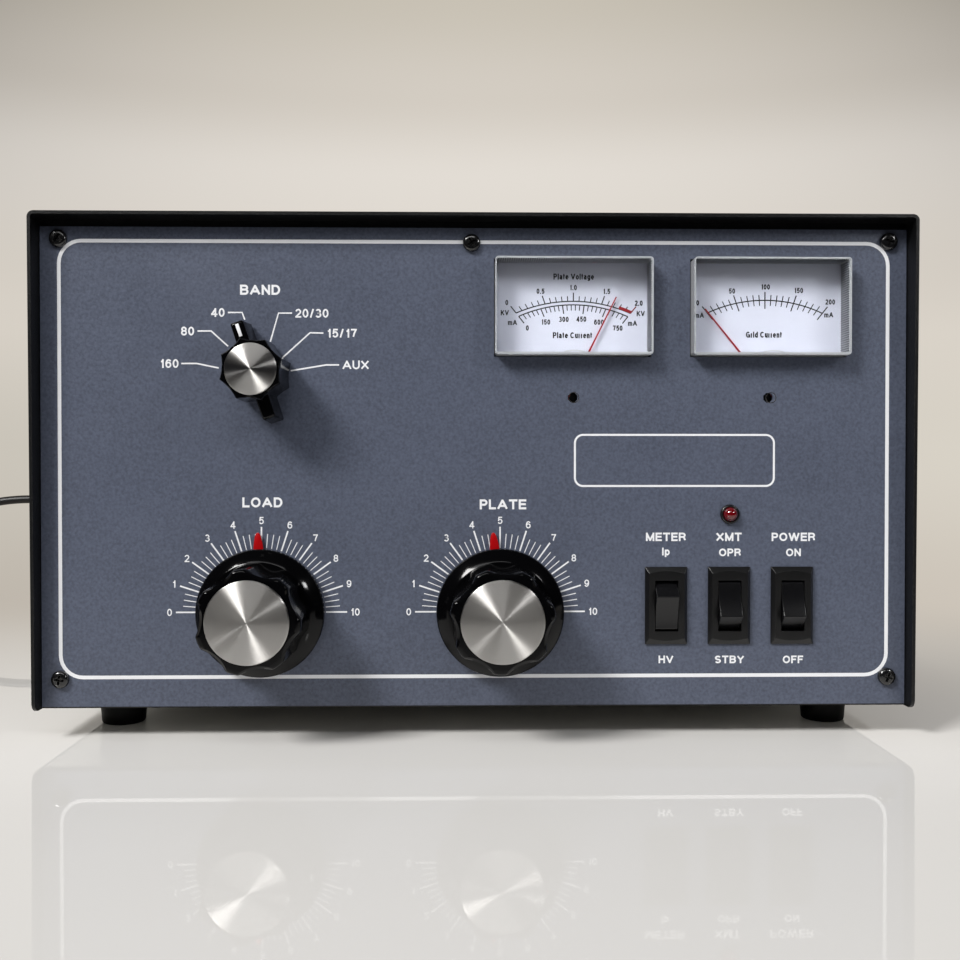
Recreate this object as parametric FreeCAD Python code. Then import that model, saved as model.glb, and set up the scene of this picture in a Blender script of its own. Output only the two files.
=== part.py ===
"""HF linear amplifier: a desk-top cabinet with its panel controls, tubes, tuning parts and mains cord.

Millimetres. +X is to the right of someone facing the front panel, +Y goes to the back and +Z is up.
The origin lies on the table, under the middle of the cabinet with its knobs and rear fittings.
"""
import FreeCAD, Part
import math
import os

Vec = FreeCAD.Vector

# ---------------------------------------------------------------- driving dimensions
cabinet_width = 349.25        # over the cover, 13.75 inches
cabinet_top = 208.1           # table to the top of the cover
overall_depth = 406.4         # knob fronts to the end of the ground post, 16 inches
foot_height = 12.0
knob_height = 30.0            # big knobs, panel face to the front of the inlay
ground_post_reach = 22.4      # rear panel to the end of the ground post

cover_sheet = 1.3
cover_bend = 2.5              # outside radius of the two top folds
lip_top = 8.5                 # how far the cover stands in front of the panel, at the top
lip_bottom = 6.4              # and at the bottom
lip_corner = 4.0              # rounded lower front corners of the cover
cover_tail = 2.5              # how far the cover runs past the rear panel
vent_width = 3.0
vent_length = 66.0
vent_pitch = 22.0

panel_sheet = 1.6
chassis_sheet = 1.5
panel_top = 203.8
panel_bottom = 12.9
panel_half_width = 173.0

panel_y = -overall_depth / 2 + knob_height            # front face of the front panel
rear_y = overall_depth / 2 - ground_post_reach        # outer face of the rear panel
inner_half_width = cabinet_width / 2 - cover_sheet
ceiling = cabinet_top - cover_sheet
floor_top = foot_height + chassis_sheet
sub_panel_back = panel_sheet + chassis_sheet          # depth of the sub-panel's back face

# front panel controls: (x, z) of each shaft
load_shaft = (-85.75, 50.5)
plate_shaft = (9.5, 50.5)
band_shaft = (-85.7, 145.5)
shaft_radius = 3.175          # quarter-inch shafts
running_gap = 0.06            # radial clearance of a turning shaft

skirt_radius = 25.4           # big knobs, 2 inches across
skirt_base = 2.0              # underside of the skirt above the panel
skirt_top = 4.6
knob_rim = 29.2
knob_flutes = 7
knob_bore = 3.22
scoop_radius = 16.0           # of the cylinder that scoops each flute
inlay_radius = 15.85
band_inlay_radius = 9.9
band_knob_height = 22.0
sleeve_radius = 7.0           # outer sleeve that carries the pointer
vane_radius = 22.0
vane_thick = 1.0
vane_bar = 4.4                # across the corners of the bar that the vanes are pressed on
vane_sides = 10
dial_span = 180.0             # degrees between 0 and 10 on the dial, which reads clockwise
load_reading = 4.87
plate_reading = 4.72
band_angle = 106.6            # degrees from +X, where the band knob points
band_positions = 6
band_step = 33.0              # degrees between two bands

switch_places = (76.2, 101.6, 127.0)
switch_z = 52.8
bezel_size = (17.0, 31.1)
bezel_front = 2.3
rocker_size = (8.7, 20.2)
rocker_swing = 15.0           # degrees either side of the middle
rocker_pivot_depth = 6.3
rocker_tip_radius = 12.35
rocker_tip_angle = 56.1       # degrees from vertical to the tip, with the rocker level

meter_places = (38.6, 117.3)
meter_z = 172.2
meter_window = (62.5, 38.6)
meter_proud = 7.0
meter_wall = 1.5
card_depth = 3.4              # front face of the scale card behind the panel face
card_thick = 0.8
needle_depth = 2.5
needle_pivot_z = 141.3
needle_length = 39.8
staff_radius = 0.8
needle_readings = (-26.5, 39.0)   # degrees left of vertical, as the two needles stand
zero_hole_z = 136.3

led_place = (101.9, 89.5)
screw_places = ((-165.6, 198.9), (-1.9, 197.8), (165.6, 198.9), (-165.6, 23.9), (165.6, 23.9))
feet_places = ((-150.2, 30.0), (150.2, 30.0), (-150.2, 326.0), (150.2, 326.0))   # x, depth

partition_x = 43.0
tube_rows = (225.0, 292.0)    # depths of the two rows of tubes
tube_columns = (-125.0, -57.0)
tube_deck_z = 27.0
tube_sides = 6
fan_place = (-91.0, 112.0)
fan_size = 80.0
fan_thick = 25.0
fan_duct = 37.6               # radius
fan_blade_count = 5

strain_relief_place = (-150.0, 52.0)
fuse_places = ((-152.0, 96.0), (-152.0, 126.0))
coax_places = ((-20.0, 60.0), (18.0, 60.0))
coax_radius = 7.94            # 5/8 inch thread
phono_places = ((64.0, 60.0), (84.0, 60.0), (104.0, 60.0))
ground_post_place = (146.0, 48.0)
ground_post_radius = 3.175

cord_radius = 3.5
relief_length = 22.4          # as far out as the ground post
coil_centre = (-462.0, 196.0)
coil_inner = 28.5
coil_outer = 49.5
coil_height = 14.2
cord_route = [                # from the strain relief to the coil, chosen by hand
    (-150.0, 203.2, 52.0), (-150.0, 236.0, 52.0), (-163.0, 277.0, 56.5), (-195.0, 305.0, 60.5),
    (-240.0, 318.0, 65.0), (-290.0, 322.0, 70.5), (-342.0, 321.5, 77.5), (-390.0, 320.0, 82.0),
    (-434.0, 316.5, 73.5), (-470.0, 310.0, 48.0), (-496.0, 293.0, 20.0), (-509.0, 263.0, 4.6),
    (-509.0, 230.0, 3.7), (-508.0, 200.0, 3.7)]
plug_cord = [(-508.0, 190.0, 10.7), (-508.0, 168.0, 10.8), (-507.0, 147.0, 11.0), (-505.0, 128.0, 11.0)]
plug_length = 38.0
plug_blade_length = 17.5
cord_sides = 6
cord_turn = 18.0              # degrees turned at each mitre of a bend

# many-sided stand-ins for round forms
knob_sides = 21               # three to a flute of the big knobs
band_knob_sides = 24
round_sides = 12
small_sides = 8
screw_sides = 6
shaft_sides = 8
bore_sides = 8                # flats that touch the running circle
scoop_sides = 20
led_sides = 12


# ---------------------------------------------------------------- helpers
def depth(distance):
    """Y of a plane that lies this far behind the face of the front panel."""
    return panel_y + distance


def block(x0, x1, y0, y1, z0, z1):
    return Part.makeBox(x1 - x0, y1 - y0, z1 - z0, Vec(x0, y0, z0))


def outline(points):
    return Part.Face(Part.makePolygon([Vec(*p) for p in points + points[:1]]))


def ring(radius, height, sides):
    """Corners of a regular polygon round Z."""
    angles = [2 * math.pi * (i + 0.5) / sides for i in range(sides)]
    return [(radius * math.cos(a), radius * math.sin(a), height) for a in angles]


def rod(x, y, z, radius, length, direction, sides=0):
    """Round bar from a point along a direction, or the many-sided bar inside it."""
    if not sides:
        return Part.makeCylinder(radius, length, Vec(x, y, z), Vec(*direction))
    bar = outline(ring(radius, 0, sides)).extrude(Vec(0, 0, length))
    bar.Placement = FreeCAD.Placement(Vec(x, y, z), FreeCAD.Rotation(Vec(0, 0, 1), Vec(*direction)))
    return bar


def disc(radius, low, high, sides=0):
    """Round or many-sided disc about Z between two heights."""
    return rod(0, 0, low, radius, high - low, (0, 0, 1), sides)


def hole(x, y, z, radius, length, direction, sides=8):
    """Many-sided hole tool whose flats touch the circle."""
    return rod(x, y, z, radius / math.cos(math.pi / sides), length, direction, sides)


def turned(profile, sides=0):
    """Solid of revolution about Z from (radius, height) points, or the many-sided solid inside it."""
    if sides:
        return faceted(profile, sides)
    face = outline([(radius, 0, height) for radius, height in profile])
    return face.revolve(Vec(0, 0, 0), Vec(0, 0, 1), 360)


def walls(low, high):
    """Flat faces between two rings of corners; where corners meet, a face loses that edge."""
    faces = []
    for i in range(len(low)):
        k = (i + 1) % len(low)
        corners = list(dict.fromkeys([low[i], low[k], high[k], high[i]]))
        if len(corners) > 2:
            faces.append(outline(corners))
    return faces


def closed(faces):
    solid = Part.Solid(Part.Shell(faces))
    if solid.Volume < 0:
        solid.reverse()
    return solid.removeSplitter()


def faceted(profile, sides):
    """Flat-sided form of a turned piece, for what repeats: one flat per side and step of the profile."""
    rings = [ring(radius, height, sides) for radius, height in profile]
    faces = []
    for low, high in zip(rings, rings[1:] + rings[:1]):
        faces += walls(low, high)
    return closed(faces)


def joined(shapes):
    whole = shapes[0]
    for shape in shapes[1:]:
        whole = whole.fuse(shape)
    return whole.removeSplitter()


def group(shapes):
    return Part.makeCompound(shapes)


def on_panel(shape, x, z, turn=0.0):
    """Stand a piece drawn face up (Z out of the panel, Y up it) on the front panel."""
    placed = shape.copy()
    placed.rotate(Vec(0, 0, 0), Vec(0, 0, 1), turn)
    placed.rotate(Vec(0, 0, 0), Vec(1, 0, 0), 90)
    placed.translate(Vec(x, panel_y, z))
    return placed


def on_rear(shape, x, z):
    """Stand a piece drawn face up (Z out) on the outside of the rear panel."""
    placed = shape.copy()
    placed.rotate(Vec(0, 0, 0), Vec(1, 0, 0), -90)
    placed.translate(Vec(x, rear_y, z))
    return placed


def pan_head_screw(head_radius, head_height, shank_radius, shank_length):
    """Pan-head screw, head above z = 0 and shank below."""
    return joined([disc(head_radius, 0, head_height, screw_sides), disc(shank_radius, -shank_length, 0, 4)])


def save(name, shape):
    shape.exportStep("parts/" + name + ".step")


# ---------------------------------------------------------------- cabinet
def cover_section(half_width, top, bend, bottom):
    """Inverted-U outline in the XZ plane, from lower left round to lower right."""
    middle = bend * math.sqrt(0.5)
    left_arc = Part.Arc(Vec(-half_width, 0, top - bend),
                        Vec(-half_width + bend - middle, 0, top - bend + middle),
                        Vec(-half_width + bend, 0, top))
    right_arc = Part.Arc(Vec(half_width - bend, 0, top),
                         Vec(half_width - bend + middle, 0, top - bend + middle),
                         Vec(half_width, 0, top - bend))
    lines = [Part.LineSegment(Vec(-half_width, 0, bottom), Vec(-half_width, 0, top - bend)),
             Part.LineSegment(Vec(-half_width + bend, 0, top), Vec(half_width - bend, 0, top)),
             Part.LineSegment(Vec(half_width, 0, top - bend), Vec(half_width, 0, bottom)),
             Part.LineSegment(Vec(half_width, 0, bottom), Vec(-half_width, 0, bottom))]
    return Part.Face(Part.Wire([edge.toShape() for edge in
                                (lines[0], left_arc, lines[1], right_arc, lines[2], lines[3])]))


def trimmed_to_cover(shape):
    """Cut a sheet-metal piece to the space under the cover, with its rounded top corners."""
    space = cover_section(inner_half_width, ceiling, cover_bend - cover_sheet, foot_height)
    space.translate(Vec(0, -overall_depth / 2, 0))
    return shape.common(space.extrude(Vec(0, overall_depth, 0)))


def cover_side_view():
    """Side outline of the cover: sloped front edge and rounded lower front corner, across the width."""
    half = cabinet_width / 2 + 1
    top, bottom = cabinet_top + 1, foot_height
    front_top, front_bottom = depth(-lip_top), depth(-lip_bottom)
    r = lip_corner
    edges = [Part.LineSegment(Vec(-half, front_top, top), Vec(-half, front_bottom, bottom + r)),
             Part.Arc(Vec(-half, front_bottom, bottom + r),
                      Vec(-half, front_bottom + r * (1 - math.sqrt(0.5)), bottom + r * (1 - math.sqrt(0.5))),
                      Vec(-half, front_bottom + r, bottom)),
             Part.LineSegment(Vec(-half, front_bottom + r, bottom), Vec(-half, rear_y + cover_tail, bottom)),
             Part.LineSegment(Vec(-half, rear_y + cover_tail, bottom), Vec(-half, rear_y + cover_tail, top)),
             Part.LineSegment(Vec(-half, rear_y + cover_tail, top), Vec(-half, front_top, top))]
    face = Part.Face(Part.Wire([edge.toShape() for edge in edges]))
    return face.extrude(Vec(2 * half, 0, 0))


def cover_vents():
    """Punched slots: two rows over the tubes, one over the power supply and one in each side."""
    low, high = ceiling - 1, cabinet_top + 1
    rows = [(-143.0, 205.0, 5), (-143.0, 290.0, 5), (74.0, 170.0, 4)]     # first slot, depth of the row, count
    tools = [block(x + i * vent_pitch, x + i * vent_pitch + vent_width, depth(d - vent_length / 2),
                   depth(d + vent_length / 2), low, high) for x, d, count in rows for i in range(count)]
    side = cabinet_width / 2 + 1
    for i in range(3):
        front = depth(216.0 + i * vent_pitch)
        tools.append(block(-side, side, front, front + vent_width, 128 - vent_length / 2,
                           128 + vent_length / 2))
    return tools


def side_screw_depths():
    return (25.0, 130.0, 235.0, 340.0)


def make_cover():
    length = Vec(0, overall_depth, 0)
    half = cabinet_width / 2
    outer = cover_section(half, cabinet_top, cover_bend, foot_height)
    inner = cover_section(half - cover_sheet, ceiling, cover_bend - cover_sheet, foot_height - 1)
    outer.translate(Vec(0, -overall_depth / 2, 0))
    inner.translate(Vec(0, -overall_depth / 2, 0))
    sheet = outer.extrude(length).cut(inner.extrude(length)).common(cover_side_view())
    holes = [hole(-half - 1, depth(d), 19.0, 1.9, 2 * half + 2, (1, 0, 0), 4) for d in side_screw_depths()]
    return sheet.cut(group(cover_vents() + holes))


def shaft_openings(y, thickness):
    """Holes for the controls, shared by the front panel and the sub-panel behind it."""
    out = (0, 1, 0)
    holes = [hole(x, y, z, sleeve_radius + 1.2, thickness, out, small_sides)
             for x, z in (load_shaft, plate_shaft)]
    holes.append(hole(band_shaft[0], y, band_shaft[1], 5.0, thickness, out))
    holes.append(hole(led_place[0], y, led_place[1], 3.3, thickness, out))
    holes += [hole(x, y, z, 1.9, thickness, out, 4) for x, z in screw_places]
    width, height = bezel_size[0] - 3.0, bezel_size[1] - 3.4
    holes += [block(x - width / 2, x + width / 2, y, y + thickness, switch_z - height / 2,
                    switch_z + height / 2)
              for x in switch_places]
    return holes


def make_front_panel():
    plate = block(-panel_half_width, panel_half_width, panel_y, depth(panel_sheet), panel_bottom, panel_top)
    holes = shaft_openings(panel_y, panel_sheet)
    width, height = meter_window[0] + 0.6, meter_window[1] + 0.6
    holes += [block(x - width / 2, x + width / 2, panel_y, depth(panel_sheet),
                    meter_z - height / 2, meter_z + height / 2) for x in meter_places]
    holes += [hole(x, panel_y, zero_hole_z, 1.95, panel_sheet, (0, 1, 0), small_sides) for x in meter_places]
    return plate.cut(group(holes))


def make_chassis():
    """Folded pan: floor, sub-panel with a top flange, two side flanges and a low rear flange."""
    w, t = inner_half_width, chassis_sheet
    front, back = depth(panel_sheet), rear_y - t
    pan = joined([block(-w, w, front, back, foot_height, floor_top),
                  block(-w, w, front, front + t, foot_height, ceiling),
                  block(-w, w, front, front + 12, ceiling - t, ceiling),
                  block(-w, -w + t, front, back, foot_height, 26),
                  block(w - t, w, front, back, foot_height, 26),
                  block(-w, w, back - t, back, foot_height, 26)])
    holes = shaft_openings(front, t)
    holes.append(block(4, 152, front, front + t, 118, 194))
    holes += [hole(x, depth(d), foot_height, 1.9, t, (0, 0, 1), 4) for x, d in feet_places]
    holes += [hole(-w - 1, depth(d), 19.0, 1.9, 2 * w + 2, (1, 0, 0), 4) for d in side_screw_depths()]
    return trimmed_to_cover(pan).cut(group(holes))


def make_rear_panel():
    w, t = inner_half_width, chassis_sheet
    plate = joined([block(-w, w, rear_y - t, rear_y, foot_height, ceiling),
                    block(-w, w, rear_y - 12, rear_y, ceiling - t, ceiling)])
    through = (0, 1, 0)
    y = rear_y - t
    holes = [hole(fan_place[0], y, fan_place[1], 37.0, t, through, round_sides)]
    round_holes = [(5.6, coax_places), (3.3, phono_places), (6.4, fuse_places), (3.3, (ground_post_place,))]
    holes += [hole(x, y, z, radius, t, through, 6) for radius, places in round_holes for x, z in places]
    holes.append(hole(strain_relief_place[0], y, strain_relief_place[1], 6.6, t, through))
    holes += [hole(x, y, z, 1.9, t, through, 4) for x, z in fan_screw_places()]
    return trimmed_to_cover(plate).cut(group(holes))


def fan_screw_places():
    reach = fan_size / 2 - 4.3
    return [(fan_place[0] + i * reach, fan_place[1] + k * reach) for i in (-1, 1) for k in (-1, 1)]


def make_case_screws():
    """Black pan-head screws: front panel, cover sides and the feet."""
    screws = [on_panel(pan_head_screw(3.55, 2.6, 1.7, 8.0), x, z) for x, z in screw_places]
    for side in (-1, 1):
        for d in side_screw_depths():
            screw = pan_head_screw(3.55, 2.2, 1.7, 7.0)
            screw.rotate(Vec(0, 0, 0), Vec(0, 1, 0), 90 * side)
            screw.translate(Vec(side * cabinet_width / 2, depth(d), 19.0))
            screws.append(screw)
    for x, d in feet_places:
        screw = pan_head_screw(3.55, 2.4, 1.7, 12.0)
        screw.rotate(Vec(0, 0, 0), Vec(1, 0, 0), 180)
        screw.translate(Vec(x, depth(d), 5.0))
        screws.append(screw)
    return group(screws)


def make_feet():
    """Turned rubber feet with a deep recess for the screw."""
    foot = turned([(1.9, 5.0), (4.8, 5.0), (4.8, 0), (8.8, 0), (9.85, foot_height), (1.9, foot_height)],
                  small_sides)
    feet = []
    for x, d in feet_places:
        placed = foot.copy()
        placed.translate(Vec(x, depth(d), 0))
        feet.append(placed)
    return group(feet)


def make_partition():
    """Wall between the power supply and the tuning compartment, with a foot flange."""
    wall = block(partition_x, partition_x + 1.5, depth(48), depth(350), floor_top, 190)
    foot = block(partition_x, partition_x + 8, depth(48), depth(350), floor_top, floor_top + 1.5)
    passages = [hole(partition_x - 1, depth(d), z, 6.0, 4, (1, 0, 0))
                for d, z in ((80, 30), (330, 30), (200, 170))]
    return joined([wall, foot]).cut(group(passages))


# ---------------------------------------------------------------- knobs, pointers and their shafts
def fluted_knob():
    """Skirted knob: a flared body with scooped flutes that run out just above the skirt."""
    profile = [(knob_bore, skirt_base), (skirt_radius, skirt_base), (skirt_radius, skirt_top),
               (21.6, 15.0), (20.0, knob_rim), (inlay_radius, knob_rim),
               (inlay_radius, 28.6), (0, 28.6), (0, 18.0), (knob_bore, 18.0)]
    body = turned(profile, knob_sides)
    top_reach, base_reach = 17.6 + scoop_radius, 23.6 + scoop_radius
    tilt = math.degrees(math.atan((base_reach - top_reach) / (knob_rim - skirt_top)))
    scoop = disc(scoop_radius, -30, 30, scoop_sides)
    scoop.rotate(Vec(0, 0, 0), Vec(0, 1, 0), -tilt)
    scoop.translate(Vec(base_reach, 0, skirt_top))
    above_skirt = block(0, 60, -20, 20, skirt_top, 40)
    scoop = scoop.common(above_skirt)
    cutters = []
    for i in range(knob_flutes):
        cutter = scoop.copy()
        cutter.rotate(Vec(0, 0, 0), Vec(0, 0, 1), (i + 0.5) * 360.0 / knob_flutes)
        cutters.append(cutter)
    return body.cut(group(cutters))


def knob_inlay():
    return disc(inlay_radius, 28.6, knob_height, knob_sides)


def input_shaft(length_out, length_in):
    """Knob shaft, from inside the knob back through the sleeve."""
    return disc(shaft_radius, -length_in, length_out, shaft_sides)


def pointer():
    """Thin disc behind the skirt, with a tapered tab that shows beyond it."""
    tip = skirt_radius + 7.0
    tab = outline([(18.0, -2.1, 0.6), (tip - 1.2, -0.9, 0.6), (tip, -0.5, 0.6), (tip, 0.5, 0.6), (tip - 1.2, 0.9, 0.6),
                   (18.0, 2.1, 0.6)]).extrude(Vec(0, 0, 0.8))
    seat = hole(0, 0, 0, sleeve_radius - 1.0, 2, (0, 0, 1), small_sides)
    return joined([disc(21.0, 0.6, 1.4, round_sides), tab]).cut(seat)


def tuner_rotor(tuner):
    """Sleeve, shaft and half-round vanes of one variable capacitor; the vanes hang towards -Y at reading 0."""
    tail = -tuner["start"] - tuner_length(tuner) - 12.0
    bore = hole(0, 0, -18.0, shaft_radius + running_gap, 20.0, (0, 0, 1), bore_sides)
    sleeve = joined([disc(sleeve_radius - 1.0, 0.6, 1.4, shaft_sides),
                     disc(sleeve_radius, -24.0, 0.6, shaft_sides)])
    pieces = [sleeve.cut(bore), disc(shaft_radius, -tuner["start"], -24.0, shaft_sides),
              disc(vane_bar, tail + 10.0, -tuner["start"], 6),
              disc(shaft_radius, tail, tail + 10.0, shaft_sides)]
    half_plane = block(-40, 40, -40, 1.2, -200, 200)
    for i in range(tuner["vanes"]):
        front = -tuner["start"] - i * tuner["gap"]
        pieces.append(disc(vane_radius, front - vane_thick, front, vane_sides).common(half_plane))
    return joined(pieces)


def band_knob():
    """Eight-sided scalloped body with a pointer bar through it; the bar lies along X."""
    profile = [(knob_bore, 1.0), (12.9, 1.0), (12.1, 21.6), (band_inlay_radius, 21.6),
               (band_inlay_radius, 21.0), (0, 21.0), (0, 14.0), (knob_bore, 14.0)]
    body = turned(profile, band_knob_sides)
    cutters = []
    for i in range(8):
        cutter = rod(28.9, 0, 0, 18.0, 40, (0, 0, 1), scoop_sides)
        cutter.rotate(Vec(0, 0, 0), Vec(0, 0, 1), (i + 0.5) * 45.0)
        cutters.append(cutter)
    bar = Part.makeLoft([Part.makePolygon([Vec(x, y, z) for x, y in bar_outline(grow)] +
                                          [Vec(bar_outline(grow)[0][0], bar_outline(grow)[0][1], z)])
                         for z, grow in ((1.0, 0.7), (13.6, 0.0), (14.6, -0.9))], True, True)
    bar = bar.cut(disc(knob_bore, 1, 14, band_knob_sides))
    return joined([body.cut(group(cutters)), bar])


def bar_outline(grow):
    long, wide_tip, wide_root = 20.0 + grow, 2.2 + grow * 0.6, 2.75 + grow * 0.6
    return [(-long, -wide_tip), (0, -wide_root), (long, -wide_tip), (long, wide_tip), (0, wide_root),
            (-long, wide_tip)]


def band_inlay():
    return disc(band_inlay_radius, 21.0, band_knob_height, band_knob_sides)


wafer_depths = (58.0, 88.0)


def band_switch_shaft():
    """Switch shaft with a contact rotor inside each wafer."""
    pieces = [disc(shaft_radius, -100.0, 14.0, shaft_sides)]
    for d in wafer_depths:
        pieces += [disc(9.0, -d - 1.6, -d, small_sides), block(0, 13.0, -3.0, 3.0, -d - 1.6, -d)]
    return joined(pieces)


def make_band_wafers():
    """Detent plate on the sub-panel, two tie rods and the fixed wafers with their clips."""
    pieces = [disc(16.0, -sub_panel_back - 3.0, -sub_panel_back, small_sides)]
    for side in (-1, 1):
        pieces.append(rod(side * 19.0, 0, -96.0, 1.6, 92.0, (0, 0, 1), 4))
        pieces.append(block(min(side * 14, side * 22), max(side * 14, side * 22), -4, 4, -6.1, -4.1))
    for d in wafer_depths:
        pieces.append(disc(23.0, -d - 1.6, -d, small_sides).cut(hole(0, 0, -d - 1.6, 14.0, 1.6, (0, 0, 1))))
        for i in range(band_positions):
            clip = block(20.0, 26.0, -1.0, 1.0, -d - 1.6, -d)
            clip.rotate(Vec(0, 0, 0), Vec(0, 0, 1), band_angle + (2 - i) * band_step)
            pieces.append(clip)
    bore = hole(0, 0, -8, shaft_radius + running_gap, 8, (0, 0, 1), bore_sides)
    return on_panel(joined(pieces).cut(bore), *band_shaft)


def dial_angle(reading):
    return 180.0 - reading * dial_span / 10.0


# ---------------------------------------------------------------- variable capacitors behind the panel
tuners = {
    "load": {"shaft": load_shaft, "reading": load_reading, "vanes": 6, "gap": 7.0, "start": 34.0,
             "phase": -3.3},
    "plate": {"shaft": plate_shaft, "reading": plate_reading, "vanes": 5, "gap": 10.0, "start": 34.0,
              "phase": 10.4},
}


def tuner_length(tuner):
    return tuner["vanes"] * tuner["gap"]


def stator(tuner):
    """Fixed plates between the vanes, on two bars; each plate is notched round the shaft."""
    pieces = []
    for i in range(tuner["vanes"] - 1):
        middle = -tuner["start"] - vane_thick / 2 - (i + 0.5) * tuner["gap"]
        plate = outline([(-24, -25, middle), (24, -25, middle), (24, -2, middle), (5, -7, middle), (-5, -7, middle),
                         (-24, -2, middle)]).extrude(Vec(0, 0, 0.8))
        pieces.append(plate)
    reach = tuner["start"] + tuner_length(tuner) + 3.2
    pieces += [block(x, x + 2.5, -22.0, -18.0, -reach, -31.5) for x in (-26.5, 24.0)]
    return joined(pieces)


def capacitor_frame(tuner):
    """Two end plates with bearing holes and a base strap; the end plates stand on the chassis floor."""
    base = floor_top - tuner["shaft"][1]
    near, far = -28.5, -tuner["start"] - tuner_length(tuner) - 3.2
    ends = [block(-28, 28, base, 27, near - 3.0, near), block(-28, 28, base, 27, far - 3.0, far)]
    strap = block(-28, 28, base, base + 2.0, far, near - 3.0)
    bars = [block(min(side * 25.5, side * 28), max(side * 25.5, side * 28), 22, 27, far, near - 3.0)
            for side in (-1, 1)]
    bore = hole(0, 0, -200, shaft_radius + running_gap, 200, (0, 0, 1), bore_sides)
    return joined(ends + [strap] + bars).cut(bore)


def vernier_housing():
    """Ring of the reduction drive, on the back of the sub-panel, with its two fixing ears."""
    drum = disc(15.0, -22.0, -sub_panel_back, round_sides)
    ears = block(-21, 21, -4.5, 4.5, -sub_panel_back - 1.6, -sub_panel_back)
    return joined([drum, ears]).cut(hole(0, 0, -25, sleeve_radius + running_gap, 25, (0, 0, 1), bore_sides))


# ---------------------------------------------------------------- rocker switches
def rocker():
    """Paddle seen from the side: concave front, sloped ends and a round back on its pivot; width along X."""
    a = math.radians(rocker_tip_angle)
    tip = (rocker_tip_radius * math.cos(a), rocker_tip_radius * math.sin(a))
    steps = [i / 3.0 for i in range(-3, 4)]
    front = [(0, k * tip[0], tip[1] - 0.9 * (1 - k * k)) for k in steps]
    back = [(0, k * 11.3, 2.6 - 5.6 * (1 - k * k)) for k in steps[::-1]]
    face = outline(front + back)
    half = rocker_size[0] / 2 - 0.1
    body = face.extrude(Vec(2 * half, 0, 0))
    body.translate(Vec(-half, 0, 0))
    return body


def placed_rocker(x, top_out):
    """Tilt a rocker so that its top or its bottom end stands out."""
    piece = rocker()
    piece.rotate(Vec(0, 0, 0), Vec(1, 0, 0), rocker_swing if top_out else -rocker_swing)
    piece.translate(Vec(0, 0, -rocker_pivot_depth))
    return on_panel(piece, x, switch_z)


def switch_housing():
    """Bezel with bevelled sides and a dished front, and the body behind the panel with its terminals."""
    w, h = bezel_size
    half = rocker_size[0] / 2
    base = Part.makePolygon([Vec(*p) for p in rectangle(w, h, 0.0)])
    shoulder = Part.makePolygon([Vec(*p) for p in rectangle(w, h, 0.7)])
    face = Part.makePolygon([Vec(*p) for p in rectangle(w - 4.0, h - 7.0, 3.1)])
    bezel = joined([Part.makeLoft([base, shoulder], True, True), Part.makeLoft([shoulder, face], True, True)])
    curve = [(x, -h / 2 - 1, bezel_front - 0.55 + x * x / 68.0) for x in (-9.0, -half, 0.0, half, 9.0)]
    above = [(9.0, -h / 2 - 1, 6.0), (-9.0, -h / 2 - 1, 6.0)]
    bezel = bezel.cut(outline(curve + above).extrude(Vec(0, h + 2, 0)))
    body = block(-w / 2 + 1.9, w / 2 - 1.9, -h / 2 + 2.1, h / 2 - 2.1, -20.0, 0.0)
    cavity = block(-half, half, -12.6, 12.6, -12.6, -0.4)
    opening = block(-half, half, -rocker_size[1] / 2, rocker_size[1] / 2, -1, 6)
    terminals = [block(-3.1, 3.1, y - 0.4, y + 0.4, -27.5, -20.0) for y in (-8, 0, 8)]
    return joined([bezel, body] + terminals).cut(group([cavity, opening]))


def rectangle(width, height, z):
    x, y = width / 2, height / 2
    return [(-x, -y, z), (x, -y, z), (x, y, z), (-x, y, z), (-x, -y, z)]


# ---------------------------------------------------------------- meters
def meter_front():
    """Clear window box, open at the back."""
    w, h = meter_window
    back = -card_depth - card_thick
    outer = block(-w / 2, w / 2, -h / 2, h / 2, back, meter_proud)
    inner = block(-w / 2 + meter_wall, w / 2 - meter_wall, -h / 2 + meter_wall, h / 2 - meter_wall,
                  back, meter_proud - meter_wall)
    needle_gap = block(-w / 2 + meter_wall, w / 2 - meter_wall, -h / 2 - 1, -h / 2 + meter_wall,
                       back, -needle_depth + 1.2)
    return outer.cut(inner).cut(needle_gap)


def meter_card():
    w, h = meter_window
    x, y = w / 2 - meter_wall - 0.1, h / 2 - meter_wall - 0.1
    return block(-x, x, -y, y, -card_depth - card_thick, -card_depth)


def meter_case():
    """Tray behind the card and, below it, the movement, the pivot well and the zero adjuster."""
    w, h = meter_window
    low = needle_pivot_z - meter_z - 12.0
    tray_back = -card_depth - card_thick
    tray = block(-w / 2 - 1.0, w / 2 + 1.0, low, h / 2 + 1.0, tray_back - 6.0, tray_back)
    apron = block(-w / 2 - 1.0, w / 2 + 1.0, low, low + 5.0, tray_back, -panel_sheet)
    pivot_y = needle_pivot_z - meter_z
    back = (0, 0, -1)
    movement = rod(0, pivot_y + 8.0, tray_back - 6.0, 19.0, 20.0, back, 10)
    terminals = [rod(x, pivot_y + 8.0, tray_back - 26.0, 2.4, 10.0, back, 4) for x in (-11, 11)]
    well = rod(0, pivot_y, tray_back, 3.2, 3.0, back, screw_sides)
    bearing = hole(0, pivot_y, tray_back, staff_radius + running_gap, 5.0, back, 6)
    adjuster = rod(0, zero_hole_z - meter_z, tray_back, 1.7, 1.2, (0, 0, 1), screw_sides)
    return joined([tray, apron, movement, adjuster] + terminals).cut(group([well, bearing]))


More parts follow.
